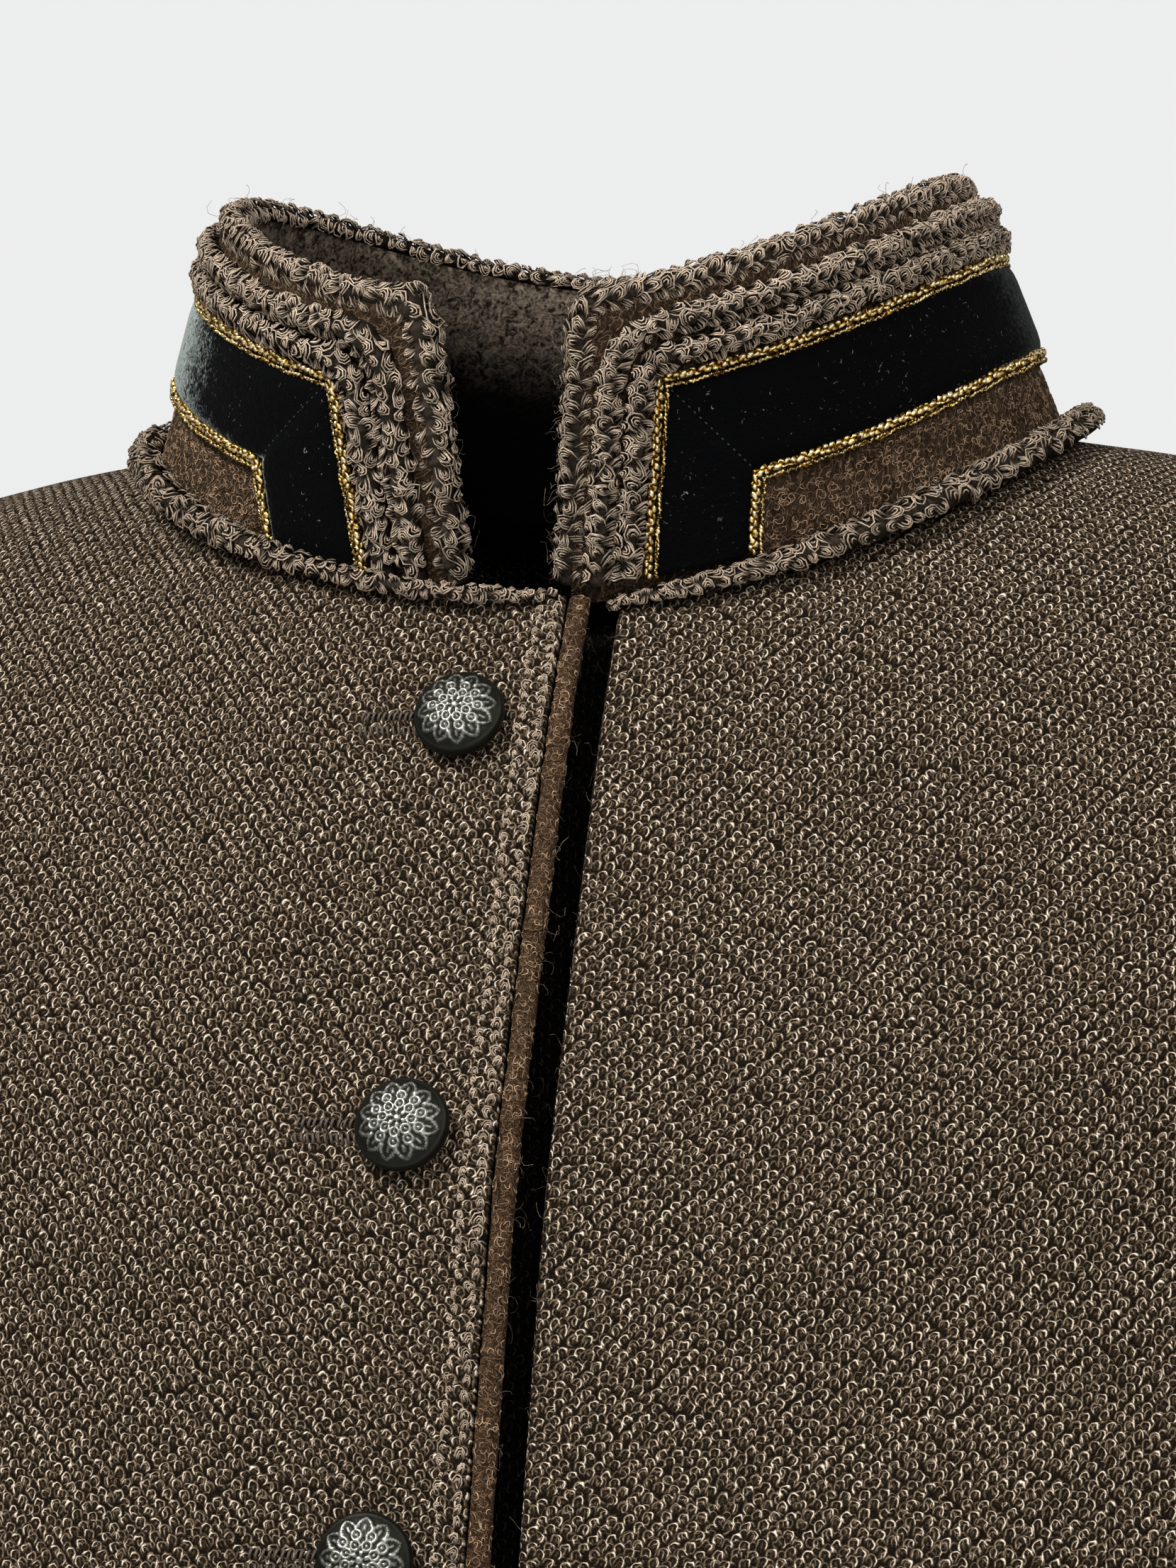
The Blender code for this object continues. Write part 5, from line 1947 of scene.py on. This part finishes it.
@dataclass
class StrayFibres:
    """Fine curled hairs that stand off the yarn at the collar's edges and along the front opening."""

    body: BodyForm
    stand: StandForm
    finish: Material
    radius: float = 0.000032
    points: int = 7
    reach: Pair = (0.0010, 0.0034)
    collar: int = 250
    front: int = 260
    steps: int = 900
    leg: int = 110
    edges: Pair = (0.0086, 0.0168)
    seed: int = 77

    def collar_roots(self, rng: Chance) -> Arrays:
        """Where hairs grow on the collar's outline, most of them on its legs, and which way they point.

        Args:
            rng: the source of chance.

        Returns:
            Points and directions.
        """
        angle, height, _ = self.stand.route(0.0006, 0.0035, self.steps)
        line, normal = self.stand.point(angle, height), self.stand.normal(angle, height)
        across = np.cross(unit(np.gradient(line, axis=0)), normal)
        across = across * np.sign(across[self.steps // 2, 2])
        legs = np.concatenate([np.arange(self.leg), np.arange(self.steps - self.leg, self.steps)])
        on_leg = rng.random(self.collar) < 0.6
        pick = np.where(on_leg, rng.choice(legs, self.collar), rng.integers(0, self.steps, self.collar))
        way = across[pick] + normal[pick] * rng.uniform(-0.5, 0.9, (self.collar, 1))
        return line[pick] - normal[pick] * rng.uniform(-0.0016, 0.0024, (self.collar, 1)), way

    def front_roots(self, rng: Chance) -> Arrays:
        """The same for both sides of the groove beside the piping.

        Args:
            rng: the source of chance.

        Returns:
            Points and directions.
        """
        form = self.body
        ring = rng.uniform(0.1, form.HEM - 0.1, self.front)
        right = rng.random(self.front) < 0.5
        angle = form.edge_angle(np.where(right, *self.edges), ring)
        base, normal = form.point(angle, ring), form.normal(angle, ring)
        lift = np.where(right, form.lap_lift - 0.0006, -0.0002)
        sideward = np.array([1.0, 0.0, 0.0])
        way = np.where(right, 1.0, -1.0)[:, None] * sideward + normal * rng.uniform(0.0, 0.8, (self.front, 1))
        return base + np.where(right, 0.0030, 0.0)[:, None] * sideward + normal * lift[:, None], way

    def build(self) -> None:
        """Makes all the hairs as one piece: each bends as two slow sines across its own way."""
        rng = np.random.default_rng(self.seed)
        roots, ways = (np.concatenate(v) for v in zip(self.collar_roots(rng), self.front_roots(rng)))
        ways = unit(unit(ways) + rng.normal(0.0, 0.45, ways.shape))
        side = unit(np.cross(ways, rng.normal(0.0, 1.0, ways.shape)))
        up = np.cross(ways, side)
        one_each = (len(roots), 1, 1)
        t = np.linspace(0.0, 1.0, self.points)[None, :, None]
        reach = rng.uniform(*self.reach, one_each)
        bend, turn = rng.uniform(0.15, 0.55, (2, *one_each))
        phase, rate = rng.uniform(0.0, ANY_WAY, one_each), rng.uniform(3.0, 7.0, one_each)
        wave = bend * (np.sin(rate * t + phase) - np.sin(phase)) * side[:, None]
        wave = wave + turn * (np.cos(rate * t + phase) - np.cos(phase)) * up[:, None]
        paths = roots[:, None] + reach * (t * ways[:, None] + wave)
        outs = np.broadcast_to(up[:, None], paths.shape)
        make_piece("stray_fibres", tubes(paths, outs, self.radius, 0.9), self.finish, Slot.CROCHET)


@dataclass
class Buttons:
    """Domed metal buttons with a flower in relief, and the stitched buttonhole beside each."""

    form: BodyForm
    metal: Material
    thread: Material
    x: float = -0.0056
    first: float = -0.0490
    pitch: float = 0.0632
    count: int = 8
    radius: float = 0.0075
    edge: float = 0.0011
    dome: float = 0.0034
    seat: float = 0.0007
    shank_height: float = 0.0006
    relief_high: float = 0.00030
    rings: int = 36
    sides: int = 116
    hole_seed: int = 60
    hole_stitches: int = 13

    def place(self, z: float, x: float) -> Arrays:
        """The cloth's point on the right front at a height and an x, and its normal there.

        Args:
            z: the height.
            x: how far to the wearer's left.

        Returns:
            The point and the normal.
        """
        rings = np.linspace(0.0, self.form.HEM, 1400)
        points, normals = self.form.right_face(x, rings)
        order = np.interp(-z, -points[:, 2], np.arange(len(rings)))
        return through(points, order), unit(through(normals, order))

    def relief(self, r: Array, turn: Array) -> Array:
        """The flower: a beaded centre, a ring of round petals, pointed petals with veins, and a plain rim.

        Args:
            r: the distance from the middle over the radius.
            turn: the angle round it.

        Returns:
            The relief from 0 to 1.
        """

        def folded(number: int, lead: float) -> Array:
            """The angle from the nearest of a number of spokes."""
            half = math.pi / number
            return np.mod(turn + lead + half, 2 * half) - half

        def away(number: int, at: float, lead: float) -> Array:
            """The distance from the nearest point of a ring of points."""
            angle = folded(number, lead)
            return np.hypot(r * np.cos(angle) - at, r * np.sin(angle))

        def beads(number: int, at: float, size: float, lead: float = 0.0) -> Array:
            """A ring of round beads."""
            return 1 - smoothstep(away(number, at, lead), size * 0.55, size)

        def rims(number: int, at: float, size: float, line: float, lead: float = 0.0) -> Array:
            """A ring of round outlines."""
            return 1 - smoothstep(np.abs(away(number, at, lead) - size), line * 0.4, line)

        def leaves(number: int, low: float, high: float, line: float, lead: float) -> Array:
            """A ring of pointed petal outlines with a vein each."""
            angle = np.abs(folded(number, lead))
            share = np.clip((r - low) / (high - low), 0.0, 1.0)
            width = math.pi / number * 0.92 * np.sin(math.pi * share**0.75) ** 0.85
            outline = 1 - smoothstep(np.abs(angle - width) * r, line * 0.4, line)
            vein = (1 - smoothstep(angle * r, line * 0.3, line * 0.8)) * (share < 0.62)
            return np.maximum(outline, vein * 0.8) * ((r > low) & (r < high))

        return np.maximum.reduce([
            1 - smoothstep(r, 0.05, 0.09),
            beads(6, 0.150, 0.062),
            rims(8, 0.310, 0.094, 0.036, 0.3),
            beads(8, 0.310, 0.038, 0.3),
            rims(10, 0.510, 0.098, 0.034),
            beads(10, 0.510, 0.042),
            leaves(12, 0.500, 0.860, 0.038, 0.15) * smoothstep(r, 0.58, 0.62),
            0.55 * (1 - smoothstep(np.abs(r - 0.955), 0.015, 0.040)),
        ])

    def head(self) -> Arrays:
        """A button's grid: out over the dome, round the edge and in under it to the shank.

        Returns:
            Radius, turn and height stacked, and the lightness, rings by points round.
        """
        r = np.linspace(0.0, 1.0, self.rings)[1:]
        turn = np.linspace(0.0, TURN, self.sides + 1)[:-1]
        rr, tt = np.meshgrid(r, turn, indexing="ij")
        relief, inside = self.relief(rr, tt), smoothstep(1.02 - rr, 0.0, 0.05)
        rise = self.edge + self.dome * np.sqrt(np.clip(1 - (rr * 0.985) ** 2, 0, 1))
        rise = rise + self.relief_high * relief
        top = np.stack([rr * self.radius, tt, rise * inside + self.edge * (1 - inside)], axis=-1)
        full, shank = np.ones(self.sides), 0.27
        under = [(0.985, self.edge * 0.55), (0.93, 0.0002), (0.86, 0.0)]
        under += [(shank, 0.0), (shank, -self.shank_height)]
        rest = np.array([np.stack([a * self.radius * full, turn, b * full], -1) for a, b in under])
        light = 0.02 + 0.98 * relief**1.5 * smoothstep(1.02 - rr, 0.05, 0.30)
        return np.concatenate([top, rest]), np.concatenate([light, np.full((len(under), self.sides), 0.05)])

    def surface(self, number: int) -> Surface:
        """One button in place, closed at the top and under the shank.

        Args:
            number: its number from the top, 0 first.

        Returns:
            The button.
        """
        point, normal = self.place(self.first - number * self.pitch, self.x)
        right = unit(np.cross(normal, (0.0, 0.0, 1.0)))
        up = np.cross(right, normal)
        seat = point + normal * (self.seat + self.shank_height)
        grid, light = self.head()
        r, turn, height = np.moveaxis(grid, -1, 0)
        turn = turn + 0.37 * number
        flat = (r * np.cos(turn))[..., None] * right + (r * np.sin(turn))[..., None] * up
        points = seat + flat + height[..., None] * normal
        index = np.arange(light.size).reshape(light.shape)
        after = np.roll(index, -1, axis=1)
        pairs = np.arange(0, self.sides, 2)

        def cap(tip: int, ring: Array) -> Array:
            """Faces from a tip to two edges each of a ring."""
            corners = (ring[pairs], ring[pairs + 1], ring[(pairs + 2) % self.sides])
            return np.stack([np.full(len(pairs), tip), *corners], -1)

        sides = np.stack([index[:-1], index[1:], after[1:], after[:-1]], -1).reshape(-1, 4)
        base = cap(light.size + 1, index[-1])[:, [0, 3, 2, 1]]
        quads = np.concatenate([sides, cap(light.size, index[0]), base])
        crown = seat + normal * (self.edge + self.dome + self.relief_high)
        foot = seat - normal * self.shank_height
        points = np.concatenate([points.reshape(-1, 3), crown[None], foot[None]])
        shade = np.concatenate([light.ravel(), [0.9, 0.05]])
        return Surface(points, quads, np.zeros((len(quads), 4, 2)), shade)

    def buttonhole(self, number: int) -> Surface:
        """Two rows of short stitches beside one button.

        Args:
            number: the button's number, 0 first.

        Returns:
            The stitches.
        """
        rng = np.random.default_rng(self.hole_seed + number)
        z, steps = self.first - number * self.pitch, self.hole_stitches
        bend = np.array([-0.0001, 0.00030, 0.00034, 0.00030, -0.0001])[:, None]
        run = np.linspace(-0.00085, 0.00085, len(bend))[:, None]
        paths, outs = [], []
        for row in (-1, 1):
            way = unit(np.array([0.25 * row, 0.0, 1.0]))
            for x in np.linspace(-0.0225, -0.0115, steps) + rng.uniform(-0.0001, 0.0001, steps):
                point, normal = self.place(z - 0.0004 + row * 0.00115, float(x))
                paths.append(point + run * way + bend * normal)
                outs.append(np.broadcast_to(normal, (len(bend), 3)))
        return tubes(np.array(paths), np.array(outs), 0.00030, 0.62)

    def build(self) -> None:
        """Makes the eight buttons and their buttonholes."""
        for number in range(self.count):
            name, solid = f"flower_button_{number + 1}", f"button_{number + 1}"
            make_piece(name, self.surface(number), self.metal, Slot.METAL, solid)
        holes = [self.buttonhole(n) for n in range(self.count)]
        make_piece("buttonhole_stitches", holes[0].joined(*holes[1:]), self.thread, Slot.KNIT)


@dataclass
class Studio:
    """Floor, lights, sky and the camera at the photograph's angle."""

    floor: Material
    azimuth: float = math.radians(13.84)
    distance: float = 0.70852
    target: Triple = (0.01315, -0.068, -0.05894)
    lens: float = 100.7
    sensor: float = 36.0
    backdrop: Colour = (0.845, 0.848, 0.850)
    fill: float = 0.34
    floor_gap: float = 0.0005
    floor_half: float = 6.0

    # name, power in watts, size, azimuth and elevation in degrees, distance
    LIGHTS = (
        ("key", 28.5, 0.45, -30.0, 50.0, 1.5),
        ("front", 8.0, 0.8, 24.0, 22.0, 1.7),
        ("rim", 6.0, 0.6, 70.0, 38.0, 1.6),
    )

    def build_floor(self) -> None:
        """A large pale floor under the hem."""
        low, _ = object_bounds()
        z, half = low.z - self.floor_gap, self.floor_half
        mesh = bpy.data.meshes.new("floor")
        corners = [(-half, -half, z), (half, -half, z), (half, half, z), (-half, half, z)]
        mesh.from_pydata(corners, [], [(0, 1, 2, 3)])
        mesh.materials.append(self.floor)
        floor = bpy.data.objects.new("floor", mesh)
        bpy.context.scene.collection.objects.link(floor)
        floor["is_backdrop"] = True

    def build_lights(self) -> None:
        """Large soft lights that face the collar."""
        aim = np.array(self.target)
        for name, power, size, azimuth, elevation, distance in self.LIGHTS:
            a, e = math.radians(azimuth), math.radians(elevation)
            way = np.array([math.sin(a) * math.cos(e), -math.cos(a) * math.cos(e), math.sin(e)])
            light = bpy.data.lights.new(name, "AREA")
            light.energy = power
            light.shape = "DISK"
            light.size = size
            lamp = bpy.data.objects.new(name, light)
            lamp.location = tuple(aim + way * distance)
            lamp.rotation_euler = (math.pi / 2 - e, 0.0, a)
            bpy.context.scene.collection.objects.link(lamp)

    def build_sky(self) -> None:
        """A pale even sky: what the camera sees, and a weaker one that lights the cloth."""
        world = bpy.data.worlds.new("studio")
        world.use_nodes = True
        tree = world.node_tree
        output = next(n for n in tree.nodes if n.type == "OUTPUT_WORLD")
        shown, lit = (tree.nodes.new("ShaderNodeBackground") for _ in range(2))
        shown.inputs["Color"].default_value = (*self.backdrop, 1.0)
        lit.inputs["Color"].default_value = (*self.backdrop, 1.0)
        lit.inputs["Strength"].default_value = self.fill
        path, mix = tree.nodes.new("ShaderNodeLightPath"), tree.nodes.new("ShaderNodeMixShader")
        tree.links.new(path.outputs["Is Camera Ray"], mix.inputs[0])
        tree.links.new(lit.outputs[0], mix.inputs[1])
        tree.links.new(shown.outputs[0], mix.inputs[2])
        tree.links.new(mix.outputs[0], output.inputs["Surface"])
        bpy.context.scene.world = world

    def build_camera(self) -> None:
        """The camera, level, turned a little to the wearer's left of the front."""
        data = bpy.data.cameras.new("camera")
        data.lens = self.lens
        data.sensor_width = self.sensor
        camera = bpy.data.objects.new("camera", data)
        x, y, z = self.target
        sine, cosine = math.sin(self.azimuth), math.cos(self.azimuth)
        camera.location = (x + self.distance * sine, y - self.distance * cosine, z)
        camera.rotation_euler = (math.pi / 2, 0.0, self.azimuth)
        bpy.context.scene.collection.objects.link(camera)
        bpy.context.scene.camera = camera

    def build(self) -> None:
        """Makes the whole studio."""
        self.build_floor()
        self.build_lights()
        self.build_sky()
        self.build_camera()
        bpy.context.scene.view_settings.view_transform = "Standard"


def main() -> None:
    """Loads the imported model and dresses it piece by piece."""
    logging.basicConfig(level=logging.INFO, format="%(name)s %(message)s")
    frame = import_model()
    LOG.info("%d solids to dress", len(frame["nodes"]))
    body, stand = BodyForm(), StandForm()
    knit = KnitFinish().build()
    yarn = YarnFinish("yarn_crochet", light=(0.78, 0.610, 0.450), dark=(0.005, 0.0033, 0.0020)).build()
    edge = YarnFinish("yarn_edge", light=(0.60, 0.462, 0.336), dark=(0.007, 0.0045, 0.0028)).build()
    felt = FeltFinish("felt_brown", ground=(0.021, 0.0125, 0.007), fibre=(0.240, 0.157, 0.097)).build()
    piping = FeltFinish("felt_piping", (0.019, 0.0105, 0.0055), (0.320, 0.195, 0.108), 0.0013, 0.0113).build()
    thread = YarnFinish("thread_dark", light=(0.20, 0.155, 0.125), dark=(0.004, 0.003, 0.0025)).build()
    mitre = YarnFinish("thread_grey", light=(0.10, 0.11, 0.12), dark=(0.002, 0.002, 0.002)).build()
    curled = YarnFinish("felt_fibre", light=(0.66, 0.425, 0.260), dark=(0.016, 0.009, 0.005)).build()
    KnitPanels(body, knit).build()
    Sleeves(body, knit).build()
    StandCollar(stand, felt, FacingFinish().build(), VelvetFinish().build(), mitre, curled).build()
    CrochetTrim(stand, yarn).build()
    GoldCords(stand, GoldFinish().build()).build()
    NeckRoll(body, stand, edge).build()
    FrontEdge(body, edge, piping, curled).build()
    Buttons(body, MetalFinish().build(), thread).build()
    StrayFibres(body, stand, edge).build()
    Studio(FloorFinish().build()).build()


if __name__ == "__main__":
    main()
